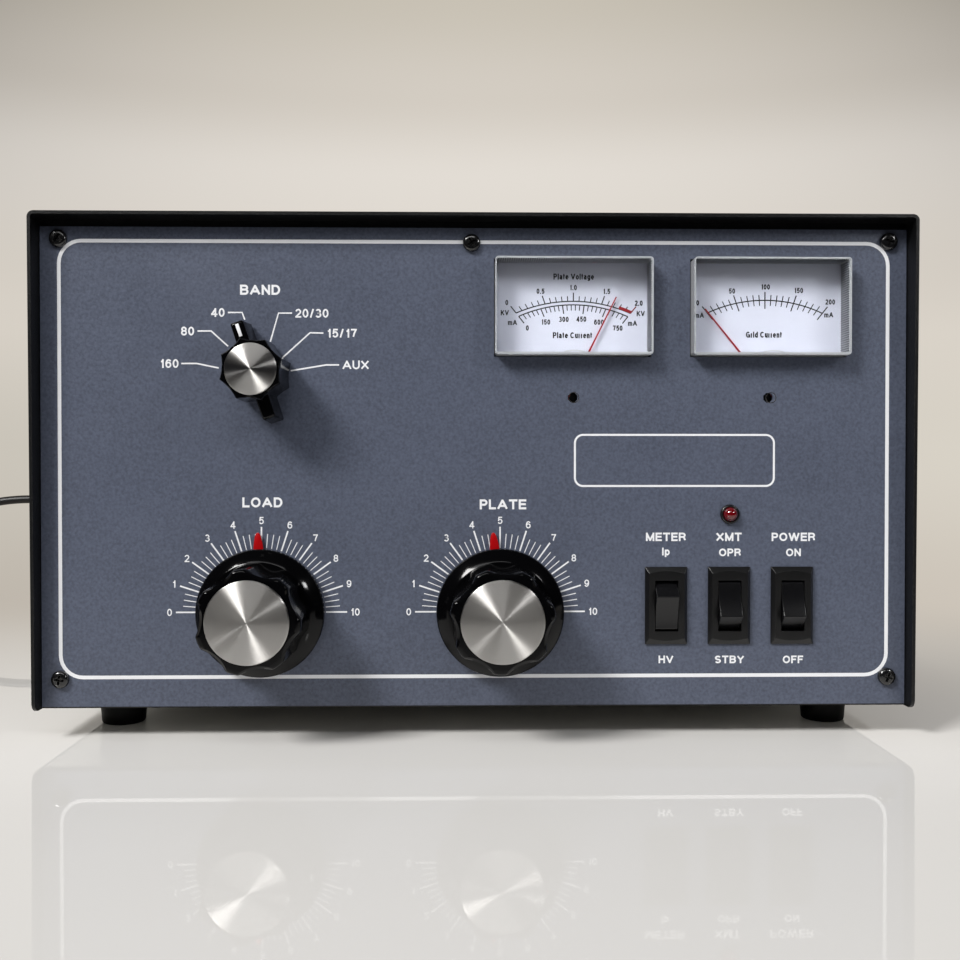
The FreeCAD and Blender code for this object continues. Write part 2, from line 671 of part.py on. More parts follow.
def needle(angle):
    """Flat pointer with a counterweight and a staff, turned about its pivot by an angle from vertical."""
    blade = outline([(-0.45, 0, 0), (0.45, 0, 0), (0.22, needle_length, 0), (-0.22, needle_length, 0)])
    blade = blade.extrude(Vec(0, 0, 0.4))
    tail = outline([(-0.6, 0, 0), (-1.3, -6.0, 0), (1.3, -6.0, 0), (0.6, 0, 0)]).extrude(Vec(0, 0, 0.4))
    hub = disc(2.2, 0, 0.4, screw_sides)
    staff = disc(staff_radius, -6.0, 0.4, 6)
    piece = joined([blade, tail, hub, staff])
    piece.translate(Vec(0, 0, -needle_depth))
    piece.rotate(Vec(0, 0, 0), Vec(0, 0, 1), angle)
    return piece


# ---------------------------------------------------------------- indicator
def make_led_ring():
    profile = [(2.85, -5.0), (3.2, -5.0), (3.2, 0), (3.95, 0), (3.95, 0.9), (3.4, 1.4), (2.85, 1.4)]
    return on_panel(turned(profile, led_sides), *led_place)


def make_led_lens():
    radius, base = 2.8, 1.2
    angles = [math.radians(a) for a in (0, 30, 60)]
    dome = [(radius * math.cos(a), base + radius * math.sin(a)) for a in angles]
    return on_panel(turned([(0, -5.0), (radius, -5.0)] + dome + [(0, base + radius)], led_sides), *led_place)


# ---------------------------------------------------------------- tubes
def tube_places():
    return [(x, depth(d)) for d in tube_rows for x in tube_columns]


def at_each_tube(shape):
    copies = []
    for x, y in tube_places():
        copy = shape.copy()
        copy.translate(Vec(x, y, tube_deck_z))
        copies.append(copy)
    return group(copies)


def make_tube_deck():
    """Raised shelf on two folded legs, pierced for the sockets."""
    x0, x1, y0, y1 = -166.0, -16.0, depth(190), depth(316)
    top = block(x0, x1, y0, y1, tube_deck_z - 1.5, tube_deck_z)
    legs = [block(x0, x1, y, y + 1.5, floor_top, tube_deck_z) for y in (y0, y1 - 1.5)]
    foot = block(x0, x1, y0 - 10, y0, floor_top, floor_top + 1.5)
    holes = [hole(x, y, tube_deck_z - 3, 15.0, 4, (0, 0, 1), tube_sides) for x, y in tube_places()]
    return joined([top, foot] + legs).cut(group(holes))


def make_tube_sockets():
    """Ceramic wafer sockets with a rim on top of the deck."""
    return at_each_tube(turned([(0, -9), (14.6, -9), (14.6, 0), (20.0, 0), (19.0, 1.0), (0, 1.0)],
                               tube_sides))


def make_tube_bases():
    base = turned([(0, 1.0), (17.5, 1.0), (17.5, 22.0), (15.5, 25.0), (0, 25.0)], tube_sides)
    return at_each_tube(base)


def make_tube_envelopes():
    """Glass bulbs with their shoulders, hollow, standing in the bases."""
    outside = [(15.5, 25.0), (27.5, 56.0), (27.5, 96.0), (16.0, 122.0), (16.0, 150.0)]
    inside = [(14.3, 26.2), (26.3, 56.2), (26.3, 95.8), (14.8, 121.8), (14.8, 148.8)]
    wall = outside + [(0, 150.0), (0, 148.8)] + inside[::-1] + [(0, 26.2), (0, 25.0)]
    return at_each_tube(turned(wall, tube_sides))


def make_tube_anodes():
    """Box anode with two fins in each bulb, on a centre stem that stands on the press."""
    stem = disc(3.0, 26.2, 58.0, 6)
    box = block(-12, 12, -8, 8, 57, 108).cut(block(-10.8, 10.8, -6.8, 6.8, 58, 109))
    fins = [block(x0, x1, -0.5, 0.5, 57, 100) for x0, x1 in ((-18, -12), (12, 18))]
    return at_each_tube(joined([stem, box] + fins))


def make_plate_caps():
    """Heat-sink caps on the tube tops, joined by a flat strap."""
    cap = turned([(0, 150.0), (7.0, 150.0), (9.5, 153.5), (9.5, 155.0), (6.5, 160.0), (0, 160.0)],
                 screw_sides)
    x0, x1 = tube_columns
    y0, y1 = depth(tube_rows[0]), depth(tube_rows[1])
    z = tube_deck_z + 160.0
    straps = [block(x - 4, x + 4, y0 - 4, y1 + 4, z, z + 0.8) for x in (x0, x1)]
    straps.append(block(x0, x1, (y0 + y1) / 2 - 4, (y0 + y1) / 2 + 4, z, z + 0.8))
    return joined([at_each_tube(cap)] + straps)


def make_plate_choke():
    """Wound choke on a ceramic pillar."""
    choke = turned([(0, 0), (12, 0), (12, 6), (9, 6), (9, 20), (10.5, 20), (10.5, 95), (9, 95), (9, 104),
                    (0, 104)],
                   small_sides)
    choke.translate(Vec(8.0, depth(262), floor_top))
    return choke


# ---------------------------------------------------------------- tank coils, relay and input board
def make_tank_coils():
    """Air-wound coil on two ribs that stand on posts, and a toroid on the chassis."""
    x, z, start = -85.0, 150.0, depth(112)
    along, turns, pitch, band = (0, 1, 0), 4, 20.0, 6.0
    outer, inner = 29.0, 26.0
    fronts = [start + 4 + i * pitch for i in range(turns)]
    rings = [rod(x, y, z, outer, band, along, small_sides).cut(rod(x, y, z, inner, band, along, small_sides))
             for y in fronts]
    ribs = [block(x + side * 22.0 - 3, x + side * 22.0 + 3, start, start + 76, z - 17, z - 11)
            for side in (-1, 1)]
    posts = [block(x + side * 22.0 - 5, x + side * 22.0 + 5, start + 30, start + 46, floor_top, z - 17.0)
             for side in (-1, 1)]
    toroid_place = (-48.0, depth(134), floor_top + 33.0)
    toroid = rod(*toroid_place, 33.0, 20.0, (1, 0, 0), small_sides)
    toroid = toroid.cut(rod(*toroid_place, 18.0, 20.0, (1, 0, 0), small_sides))
    return group([joined(rings + ribs + posts), toroid])


def relay():
    """Changeover relay on its pins."""
    case = block(-8, 22, depth(318), depth(346), floor_top + 3, floor_top + 32)
    pins = [block(x - 0.8, x + 0.8, depth(d), depth(d) + 1.6, floor_top, floor_top + 3)
            for x in (-4, 7, 18) for d in (323, 341)]
    return joined([case] + pins)


def make_radio_boards():
    """Input board on spacers at the left wall, with a row of screened coils, and the relay."""
    board = block(-168, -132, depth(40), depth(170), floor_top + 8, floor_top + 9.6)
    spacers = [rod(x, depth(d), floor_top, 3, 8, (0, 0, 1), 6) for x in (-163, -137) for d in (46, 164)]
    cans = [block(-164, -152, depth(50 + 24 * i), depth(62 + 24 * i), floor_top + 9.6, floor_top + 30)
            for i in range(3)]
    return group([joined([board] + spacers + cans), relay()])


# ---------------------------------------------------------------- power supply
def make_transformer_core():
    """Laminated core with its four corner bolts and mounting feet."""
    x0, x1, y0, y1 = 52.0, 162.0, depth(118), depth(178)
    core = block(x0, x1, y0, y1, floor_top + 3, floor_top + 97)
    windows = [block(x0 + 19, x0 + 37, y0, y1, floor_top + 22, floor_top + 78),
               block(x1 - 37, x1 - 19, y0, y1, floor_top + 22, floor_top + 78)]
    feet = [block(x0, x1, y0 - 14, y0, floor_top, floor_top + 3),
            block(x0, x1, y1, y1 + 14, floor_top, floor_top + 3),
            block(x0, x1, y0, y1, floor_top, floor_top + 3)]
    bolts = [rod(x, y0 - 5, floor_top + z, 5.0, y1 - y0 + 10, (0, 1, 0), 6)
             for x in (x0 + 9, x1 - 9) for z in (12, 88)]
    return joined([core.cut(group(windows))] + feet + bolts)


def make_transformer_windings():
    """Windings round the middle limb, bulging at both faces."""
    x, z = 107.0, floor_top + 50.0
    y0, y1 = depth(118), depth(178)
    limbs = [block(x - 35.5, x - 18.2, y0, y1, z - 27.5, z + 27.5),
             block(x + 18.2, x + 35.5, y0, y1, z - 27.5, z + 27.5)]
    ends = [block(x - 35.5, x + 35.5, y0 - 18, y0, z - 27.5, z + 27.5),
            block(x - 35.5, x + 35.5, y1, y1 + 18, z - 27.5, z + 27.5)]
    whole = joined(limbs + ends)
    upright = [edge for edge in whole.Edges if abs(edge.BoundBox.ZLength - 55) < 0.1 and
               (edge.BoundBox.YMin < y0 - 17 or edge.BoundBox.YMax > y1 + 17)]
    return whole.makeChamfer(9.0, upright)


def make_filter_board():
    """High-voltage board on spacers, with the bleeder resistors between the capacitors."""
    x0, x1, y0, y1, z = 54.0, 164.0, depth(206), depth(342), floor_top + 14.0
    board = block(x0, x1, y0, y1, z, z + 1.6)
    spacers = [rod(x, y, floor_top, 3.5, 14.0, (0, 0, 1), 6)
               for x in (x0 + 6, x1 - 6) for y in (y0 + 6, y1 - 6)]
    resistors = [block(90, 128, depth(d), depth(d) + 9, z + 1.6, z + 10.6) for d in (226, 260, 294, 328)]
    return joined([board] + spacers + resistors)


def make_filter_capacitors():
    z = floor_top + 15.6
    can = disc(13.5, 0, 50.0, small_sides)
    cans = []
    for x in (72.0, 146.0):
        for i in range(4):
            placed = can.copy()
            placed.translate(Vec(x, depth(225 + 34 * i), z))
            cans.append(placed)
    return group(cans)


# ---------------------------------------------------------------- fan and rear fittings
def make_fan_frame():
    x, z = fan_place
    half = fan_size / 2
    y0, y1 = rear_y - chassis_sheet - fan_thick, rear_y - chassis_sheet
    duct = hole(x, y0, z, fan_duct, fan_thick, (0, 1, 0), round_sides)
    screw_holes = [hole(sx, y0, sz, 1.9, fan_thick, (0, 1, 0), 4) for sx, sz in fan_screw_places()]
    frame = block(x - half, x + half, y0, y1, z - half, z + half).cut(group([duct] + screw_holes))
    motor = rod(x, y1 - 5, z, 15.0, 5, (0, 1, 0), round_sides)
    stator_arms = []
    for angle in (30, 150, 270):
        arm = block(14, 38.5, -5, 0, -2, 2)
        arm.rotate(Vec(0, 0, 0), Vec(0, 1, 0), -angle)
        arm.translate(Vec(x, y1, z))
        stator_arms.append(arm)
    bearing = hole(x, y0, z, 2.06, fan_thick - 2, (0, 1, 0), 6)
    return joined([frame, motor] + stator_arms).cut(bearing)


def make_fan_blades():
    """Hub with five pitched blades and its spindle."""
    y0, y1 = rear_y - chassis_sheet - fan_thick + 1.5, rear_y - chassis_sheet - 6.5
    hub = rod(0, y0, 0, 15.0, y1 - y0, (0, 1, 0), round_sides)
    spindle = rod(0, y1, 0, 2.0, 3.5, (0, 1, 0), 6)
    span = rod(0, y0, 0, fan_duct - 1.0, y1 - y0, (0, 1, 0), 10)
    pieces = [hub, spindle]
    for i in range(fan_blade_count):
        blade = block(-1.0, 1.0, -14, 14, 12, 36)
        blade.rotate(Vec(0, 0, 0), Vec(0, 0, 1), 42)
        blade.translate(Vec(0, (y0 + y1) / 2, 0))
        blade.rotate(Vec(0, 0, 0), Vec(0, 1, 0), i * 360.0 / fan_blade_count)
        pieces.append(blade.common(span))
    whole = joined(pieces)
    whole.translate(Vec(fan_place[0], 0, fan_place[1]))
    return whole


def make_fan_guard():
    """Rings welded on four flat spokes, with a screw through the end of each."""
    rings = [turned([(r, 1.2), (r + 2.2, 1.2), (r + 1.1, 2.6)], small_sides) for r in (11.0, 23.0, 34.5)]
    reach = fan_size / 2 - 4.3
    pieces = []
    for i in range(4):
        arm = block(11.0, reach * math.sqrt(2) + 4.0, -3.2, 3.2, 0, 1.2)
        arm = arm.cut(hole(reach * math.sqrt(2), 0, 0, 1.9, 2, (0, 0, 1), 4))
        screw = pan_head_screw(3.2, 2.0, 1.7, 12.0)
        screw.translate(Vec(reach * math.sqrt(2), 0, 1.2))
        for piece in (arm, screw):
            piece.rotate(Vec(0, 0, 0), Vec(0, 0, 1), 45 + 90 * i)
            pieces.append(piece)
    return on_rear(group(rings + pieces), *fan_place)


def coax_jack():
    """Flanged coaxial socket: square flange, round barrel and the socket in its end."""
    flange = block(-12.7, 12.7, -12.7, 12.7, 0, 1.6)
    barrel = disc(coax_radius, 1.6, 15.6)
    contact = disc(3.4, 6.6, 15.6, screw_sides)
    tail = disc(5.3, -12.0, 0, screw_sides)
    pin = disc(2.0, -17.0, -12.0, 6)
    return joined([flange, barrel, tail, pin]).cut(contact)


def phono_jack():
    flange = disc(5.6, 0, 1.4, small_sides)
    barrel = disc(4.15, 1.4, 9.4, small_sides)
    contact = disc(1.65, 1.4, 9.4, screw_sides)
    tail = disc(3.0, -8.0, 0, 6)
    return joined([flange, barrel, tail]).cut(contact)


def fuse_holder():
    """Panel fuse holder: collar, ribbed cap and the body behind the panel."""
    ribs = 8
    points = []
    for i in range(2 * ribs):
        a = math.pi * i / ribs
        radius = 6.9 if i % 2 else 6.0
        points.append((radius * math.cos(a), radius * math.sin(a), 3.2))
    cap = outline(points).extrude(Vec(0, 0, 10.4))
    return joined([disc(8.6, 0, 3.2, small_sides), cap, disc(6.2, -34.0, 0, screw_sides)])


def ground_post():
    """Threaded post with a washer, a hexagon nut and a wing nut; round where a lug goes on its end."""
    boss_top = 13.0
    stud = joined([disc(ground_post_radius, -8.0, boss_top, screw_sides),
                   disc(ground_post_radius, boss_top, ground_post_reach)])
    washer = disc(7.0, 0, 1.2, small_sides)
    nut = disc(5.8, 1.2, 5.6, 6)
    boss = turned([(0, 5.6), (5.4, 5.6), (4.6, boss_top), (0, boss_top)], screw_sides)
    wings = []
    for side in (-1, 1):
        wing = outline([(side * 3.0, 0, 7.0), (side * 7.0, 0, 7.6), (side * 12.0, 0, 12.6), (side * 12.4, 0, 15.6),
                        (side * 9.6, 0, 15.8), (side * 4.0, 0, 12.0)]).extrude(Vec(0, 2.2, 0))
        wing.translate(Vec(0, -1.1, 0))
        wings.append(wing)
    return joined([stud, washer, nut, boss] + wings)


# ---------------------------------------------------------------- mains cord
def strain_relief():
    """Grommet with a ribbed, tapered tail that carries the cord."""
    profile = [(0, -4.0), (6.4, -4.0), (6.4, 0), (8.4, 0), (8.4, 3.4), (6.4, 4.2)]
    for i in range(2):
        start = 8.0 + i * 6.0
        radius = 5.9 - 0.6 * i
        profile += [(radius, start), (radius - 1.2, start), (radius - 1.2, start + 2.5),
                    (radius - 0.3, start + 2.5)]
    profile += [(4.3, relief_length), (0, relief_length)]
    return turned(profile, small_sides)


def bend_points(before, corner, after):
    """Points on the arc that rounds one corner, as large as its two runs allow, and the radius of that arc."""
    run_in, run_out = corner - before, after - corner
    back, on = Vec(run_in).normalize(), Vec(run_out).normalize()
    half_turn = back.getAngle(on) / 2
    reach = 0.45 * min(run_in.Length, run_out.Length)
    bend = reach / math.tan(half_turn)
    inward = Vec(on - back).normalize()
    middle = corner + inward * (bend / math.cos(half_turn))
    steps = max(1, math.ceil(math.degrees(2 * half_turn) / cord_turn))
    points = []
    for i in range(steps + 1):
        angle = half_turn * (2 * i / steps - 1)
        along = Vec(back + on).normalize()
        points.append(middle - inward * (bend * math.cos(angle)) + along * (bend * math.sin(angle)))
    return points, bend


def round_cord(points, radius):
    """Tube of straight pieces, mitred at small angles round each bend."""
    corners = [Vec(*p) for p in points]
    line, radii = [corners[0]], []
    for before, corner, after in zip(corners, corners[1:], corners[2:]):
        bend, size = bend_points(before, corner, after)
        line += bend
        radii.append(size)
    line.append(corners[-1])
    section = outline(ring(radius, 0, cord_sides)).OuterWire
    section.Placement = FreeCAD.Placement(corners[0], FreeCAD.Rotation(Vec(0, 0, 1), corners[1] - corners[0]))
    solid = Part.Wire(Part.makePolygon(line)).makePipeShell([section], True, False, 1)
    length = sum((b - a).Length for a, b in zip(line, line[1:]))
    print("cord bends from", round(min(radii), 1), "mm; length", round(length, 1),
          "mm; volume over section times length",
          round(solid.Volume / (Part.Face(section).Area * length), 4))
    return solid


def make_cord_coil():
    coil = turned([(coil_inner, 0.1), (coil_outer, 0.1), (coil_outer, coil_height),
                   (coil_inner, coil_height)], 32)
    coil.translate(Vec(*coil_centre, 0))
    return coil


def make_cord_tube():
    """The free stretch from the strain relief to the coil, and the short one on to the plug."""
    coil = make_cord_coil()
    return group([round_cord(cord_route, cord_radius).cut(coil),
                  round_cord(plug_cord, cord_radius).cut(coil)])


def plug_frame():
    """Start and direction of the plug, at the end of its cord."""
    end, before = Vec(*plug_cord[-1]), Vec(*plug_cord[-2])
    direction = end - before
    direction.z = 0
    return end, direction.normalize()


def on_plug(shape):
    """Lay a piece drawn along -Y at the plug's place and heading."""
    end, direction = plug_frame()
    placed = shape.copy()
    placed.rotate(Vec(0, 0, 0), Vec(0, 0, 1), math.degrees(math.atan2(direction.x, -direction.y)))
    placed.translate(end)
    return placed


def make_plug_body():
    """Moulded plug: narrow neck that widens to the grip and the flat face, with cut corners."""
    steps = ((0, 5.2, 5.2), (-10, 6.6, 6.6), (-20, 12.2, 9.8), (-plug_length, 13.4, 10.6))    # y, half sizes
    rings = []
    for y, x, z in steps:
        cut = 0.4 * z
        rings.append([(x - cut, y, -z), (x, y, cut - z), (x, y, z - cut), (x - cut, y, z), (cut - x, y, z),
                      (-x, y, z - cut), (-x, y, cut - z), (cut - x, y, -z)])
    faces = [outline(rings[0]), outline(rings[-1])]
    for low, high in zip(rings, rings[1:]):
        faces += walls(low, high)
    return on_plug(closed(faces))


def make_plug_blades():
    """Two flat blades and a round earth pin."""
    y0, y1 = -plug_length - plug_blade_length, -plug_length
    blades = [block(x - 0.75, x + 0.75, y0, y1, -3.2 + 2.5, 3.2 + 2.5) for x in (-6.35, 6.35)]
    pin = rod(0, y1, -5.6, 2.4, plug_blade_length + 3, (0, -1, 0), screw_sides)
    return on_plug(group(blades + [pin]))


# ---------------------------------------------------------------- the whole amplifier
def build_cabinet():
    save("cover", make_cover())
    save("front_panel", make_front_panel())
    save("chassis", make_chassis())
    save("rear_panel", make_rear_panel())
    save("case_screws", make_case_screws())
    save("feet", make_feet())
    save("partition", make_partition())


def build_dials():
    for name, tuner in tuners.items():
        angle = dial_angle(tuner["reading"])
        save(name + "_knob", on_panel(fluted_knob(), *tuner["shaft"], tuner["phase"]))
        save(name + "_inlay", on_panel(knob_inlay(), *tuner["shaft"], tuner["phase"]))
        save(name + "_shaft", on_panel(input_shaft(18.0, 16.0), *tuner["shaft"]))
        save(name + "_pointer", on_panel(pointer(), *tuner["shaft"], angle))
        save(name + "_rotor", on_panel(tuner_rotor(tuner), *tuner["shaft"], angle - dial_angle(0)))
    save("capacitor_stators", group([on_panel(stator(t), *t["shaft"]) for t in tuners.values()]))
    save("capacitor_frames", group([on_panel(capacitor_frame(t), *t["shaft"]) for t in tuners.values()]))
    save("vernier_housings", group([on_panel(vernier_housing(), *t["shaft"]) for t in tuners.values()]))


def build_band_switch():
    save("band_knob", on_panel(band_knob(), *band_shaft, band_angle))
    save("band_inlay", on_panel(band_inlay(), *band_shaft, band_angle))
    save("band_shaft", on_panel(band_switch_shaft(), *band_shaft, band_angle))
    save("band_wafers", make_band_wafers())


def build_switches():
    names = ("meter_rocker", "transmit_rocker", "power_rocker")
    for name, x, top_out in zip(names, switch_places, (True, False, False)):
        save(name, placed_rocker(x, top_out))
    save("switch_housings", group([on_panel(switch_housing(), x, switch_z) for x in switch_places]))


def build_meters():
    save("meter_fronts", group([on_panel(meter_front(), x, meter_z) for x in meter_places]))
    save("meter_cards", group([on_panel(meter_card(), x, meter_z) for x in meter_places]))
    save("meter_cases", group([on_panel(meter_case(), x, meter_z) for x in meter_places]))
    for name, x, angle in zip(("plate_needle", "grid_needle"), meter_places, needle_readings):
        save(name, on_panel(needle(angle), x, needle_pivot_z))


def build_inside():
    save("led_ring", make_led_ring())
    save("led_lens", make_led_lens())
    save("tube_deck", make_tube_deck())
    save("tube_sockets", make_tube_sockets())
    save("tube_bases", make_tube_bases())
    save("tube_envelopes", make_tube_envelopes())
    save("tube_anodes", make_tube_anodes())
    save("plate_caps", make_plate_caps())
    save("plate_choke", make_plate_choke())
    save("tank_coils", make_tank_coils())
    save("radio_boards", make_radio_boards())
    save("transformer_core", make_transformer_core())
    save("transformer_windings", make_transformer_windings())
    save("filter_board", make_filter_board())
    save("filter_capacitors", make_filter_capacitors())


def build_rear():
    save("fan_frame", make_fan_frame())
    save("fan_blades", make_fan_blades())
    save("fan_guard", make_fan_guard())
    save("coax_jacks", group([on_rear(coax_jack(), x, z) for x, z in coax_places]))
    save("phono_jacks", group([on_rear(phono_jack(), x, z) for x, z in phono_places]))
    save("fuse_holders", group([on_rear(fuse_holder(), x, z) for x, z in fuse_places]))
    save("ground_post", on_rear(ground_post(), *ground_post_place))
    save("strain_relief", on_rear(strain_relief(), *strain_relief_place))
    save("cord_tube", make_cord_tube())
    save("cord_coil", make_cord_coil())
    save("plug_body", make_plug_body())
    save("plug_blades", make_plug_blades())


os.makedirs("parts", exist_ok=True)
build_cabinet()
build_dials()
build_band_switch()
build_switches()
build_meters()
build_inside()
build_rear()
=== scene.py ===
# HF linear amplifier: cabinet, controls, meters and cord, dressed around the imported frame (metres)
import math
import bmesh
import bpy
from mathutils import Matrix, Vector


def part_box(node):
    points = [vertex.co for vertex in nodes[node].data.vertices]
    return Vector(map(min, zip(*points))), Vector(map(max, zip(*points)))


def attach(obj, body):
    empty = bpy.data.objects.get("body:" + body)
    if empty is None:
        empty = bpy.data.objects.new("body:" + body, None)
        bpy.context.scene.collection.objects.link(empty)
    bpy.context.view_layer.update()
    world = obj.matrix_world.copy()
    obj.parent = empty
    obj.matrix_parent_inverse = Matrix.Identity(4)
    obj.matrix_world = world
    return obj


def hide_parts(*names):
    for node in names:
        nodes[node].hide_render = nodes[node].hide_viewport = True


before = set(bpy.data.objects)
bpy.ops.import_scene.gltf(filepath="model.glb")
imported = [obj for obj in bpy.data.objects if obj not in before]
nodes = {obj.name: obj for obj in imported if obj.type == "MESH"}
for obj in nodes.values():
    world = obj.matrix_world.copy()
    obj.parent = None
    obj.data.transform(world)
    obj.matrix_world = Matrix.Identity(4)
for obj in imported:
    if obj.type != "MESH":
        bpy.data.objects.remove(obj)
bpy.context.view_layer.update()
print("frame loaded:", len(nodes), "nodes")

mm = 0.001
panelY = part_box("front_panel")[0].y      # face of the front panel
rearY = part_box("rear_panel")[1].y        # face of the rear panel


# ---- small helpers ----
def link(thing):
    bpy.context.scene.collection.objects.link(thing)
    return thing


def linearLight(value):          # one channel of a screen colour, 0 to 255
    value = value / 255
    return value / 12.92 if value <= 0.04045 else ((value + 0.055) / 1.055) ** 2.4


def tone(red, green, blue):
    return (linearLight(red), linearLight(green), linearLight(blue), 1.0)


def step(tree, kind, inputs=None, **settings):     # one node, its settings and what feeds it
    made = tree.nodes.new(kind)
    for name, value in settings.items():
        setattr(made, name, value)
    for name, value in (inputs or {}).items():
        if isinstance(value, bpy.types.NodeSocket):
            tree.links.new(value, made.inputs[name])
        else:
            made.inputs[name].default_value = value
    return made


def reckon(tree, operation, *values):              # one sum, as a socket
    return step(tree, "ShaderNodeMath", dict(enumerate(values)), operation=operation).outputs[0]


def times(tree, first, second):
    return reckon(tree, "MULTIPLY", first, second)


def plus(tree, first, second):
    return reckon(tree, "ADD", first, second)


def minus(tree, first, second):
    return reckon(tree, "SUBTRACT", first, second)


def remap(tree, value, low, high, toLow=0.0, toHigh=1.0, smooth=False):     # a clamped range, as a socket
    kind = "SMOOTHSTEP" if smooth else "LINEAR"
    return step(tree, "ShaderNodeMapRange", {"Value": value, "From Min": low, "From Max": high,
                                             "To Min": toLow,
                                             "To Max": toHigh}, interpolation_type=kind).outputs[0]


def noise(tree, vector, scale, detail, rough=0.5, twist=0.0):
    return step(tree, "ShaderNodeTexNoise", {"Vector": vector, "Scale": scale, "Detail": detail,
                                             "Roughness": rough,
                                             "Distortion": twist}).outputs["Fac"]


def blend(tree, share, first, second):             # two colours mixed
    return step(tree, "ShaderNodeMix", {"Factor": share, "A": first, "B": second},
                data_type="RGBA").outputs["Result"]


def scaled(tree, vector, factor):
    return step(tree, "ShaderNodeVectorMath", {0: vector, "Scale": factor}, operation="SCALE").outputs[0]


def lengthOf(tree, vector):
    return step(tree, "ShaderNodeVectorMath", {0: vector}, operation="LENGTH").outputs["Value"]


def combine(tree, x=0.0, y=0.0, z=0.0):
    return step(tree, "ShaderNodeCombineXYZ", {"X": x, "Y": y, "Z": z}).outputs[0]


def split(tree, vector):
    return step(tree, "ShaderNodeSeparateXYZ", {0: vector}).outputs


def newTree(name, kind, inputs, outputs):          # a group; inputs by default value or type name
    tree = bpy.data.node_groups.new(name, kind)
    for label, value in inputs.items():
        typed = isinstance(value, str)
        socketType = value if typed else "Int" if isinstance(value, int) else "Float"
        socket = tree.interface.new_socket(name=label, in_out="INPUT", socket_type="NodeSocket" + socketType)
        if not typed:
            socket.default_value = value
    for label, socketType in outputs.items():
        tree.interface.new_socket(name=label, in_out="OUTPUT", socket_type="NodeSocket" + socketType)
    return tree, tree.nodes.new("NodeGroupInput").outputs, tree.nodes.new("NodeGroupOutput").inputs


def deliver(tree, sink, results):
    for label, value in results.items():
        tree.links.new(value, sink[label])


def newMaterial(name, color):
    material = bpy.data.materials.new(name)
    material.use_nodes = True
    material.diffuse_color = color
    material.node_tree.nodes.clear()
    return material, material.node_tree


# ---- camera, floor and light ----
view = {"place": (-6.1, -585.4, 108.3), "pitch": -0.7, "yaw": -1.05, "lens": 38.625}
lamps = {                        # place and aim in metres, size, power and colour
    "key": {"place": (-1.52, -1.46, 1.82), "aim": (0, -0.1, 0.08), "size": (0.8, 0.6), "power": 70,
            "tint": (1, 0.99, 0.97)},
    "side": {"place": (0.55, -0.56, 0.44), "aim": (0.0, -0.17, 0.07), "size": (0.1, 0.1), "power": 1.2,
             "tint": (1, 1, 1)},
    "near": {"place": (-0.1, -0.55, 0.56), "aim": (-0.03, -0.18, 0.15), "size": (0.5, 0.16), "power": 0.9,
             "tint": (1, 1, 1)},
}
surround = {
    "room": (0.15, 0.15, 0.156, 1), "wallLight": (0.2, 0.197, 0.19, 1),       # from in front, from behind
    "dark": (0.012, 0.012, 0.014, 1),                                         # what glossy parts see in front
    "falloff": 1.85, "lean": 0.17,
    "stops": [(-0.24, tone(213, 209, 203)), (-0.18, tone(205, 199, 190)), (-0.13, tone(197, 189, 178)),
              (0.016, tone(208, 202, 191)), (0.16, tone(217, 210, 200)), (0.28, tone(226, 220, 212)),
              (0.36, tone(211, 204, 194)), (0.46, tone(200, 193, 180))]}
# front: painted shade, the floor's colour scaled down further in front to even out the lamps' light
floorLook = {"near": tone(221, 219, 216), "front": 0.84, "rough": 0.012, "ior": 1.38, "fadeStart": 0.42,
             "fadeEnd": 0.95, "edge": -0.47}


def makeCamera():
    camera = link(bpy.data.objects.new("camera", bpy.data.cameras.new("camera")))
    camera.data.lens = view["lens"]
    camera.data.clip_start = 0.01
    camera.location = Vector(view["place"]) * mm
    camera.rotation_euler = [math.radians(a) for a in (90 + view["pitch"], 0, view["yaw"])]
    bpy.context.scene.camera = camera


def makeLamps():
    for name, lamp in lamps.items():
        light = bpy.data.lights.new(name, "AREA")
        light.shape = "RECTANGLE"
        light.size, light.size_y = lamp["size"]
        light.energy = lamp["power"]
        light.color = lamp["tint"]
        holder = link(bpy.data.objects.new(name, light))
        holder.location = lamp["place"]
        towards = Vector(lamp["aim"]) - Vector(lamp["place"])
        holder.rotation_euler = towards.to_track_quat("-Z", "Y").to_euler()


def makeBackdropGroup():           # pale wall by direction: a glow behind, darker top corners
    tree, given, sink = newTree("backdrop", "ShaderNodeTree", {"Vector": "Vector"}, {"Color": "Color"})
    parts = split(tree, given["Vector"])
    flat = combine(tree, x=parts["X"], y=parts["Y"])
    run = lengthOf(tree, flat)
    slope = reckon(tree, "DIVIDE", parts["Z"], reckon(tree, "MAXIMUM", run, 0.01))
    stops = surround["stops"]
    lowest, highest = stops[0][0], stops[-1][0]
    share = remap(tree, slope, lowest, highest)
    ramp = step(tree, "ShaderNodeValToRGB", {0: share})
    ramp.color_ramp.interpolation = "EASE"
    while len(ramp.color_ramp.elements) < len(stops):
        ramp.color_ramp.elements.new(0.5)
    for element, (place, value) in zip(ramp.color_ramp.elements, stops):
        element.position, element.color = (place - lowest) / (highest - lowest), value
    ahead = reckon(tree, "MAXIMUM", reckon(tree, "ABSOLUTE", parts["Y"]), 0.01)
    sideways = reckon(tree, "DIVIDE", parts["X"], ahead)
    lean = remap(tree, slope, 0.15, 0.02, 0.0, surround["lean"])
    leaning = times(tree, reckon(tree, "MINIMUM", reckon(tree, "MAXIMUM", sideways, -0.5), 0.5), lean)
    sideways = reckon(tree, "MINIMUM", reckon(tree, "ABSOLUTE", minus(tree, sideways, 0.018)), 0.5)
    rise = remap(tree, slope, 0.12, 0.46)
    dim = times(tree, times(tree, sideways, sideways), times(tree, rise, surround["falloff"]))
    shown = scaled(tree, ramp.outputs["Color"], plus(tree, minus(tree, 1.0, dim), leaning))
    deliver(tree, sink, {"Color": shown})
    return tree


backdropGlow = makeBackdropGroup()


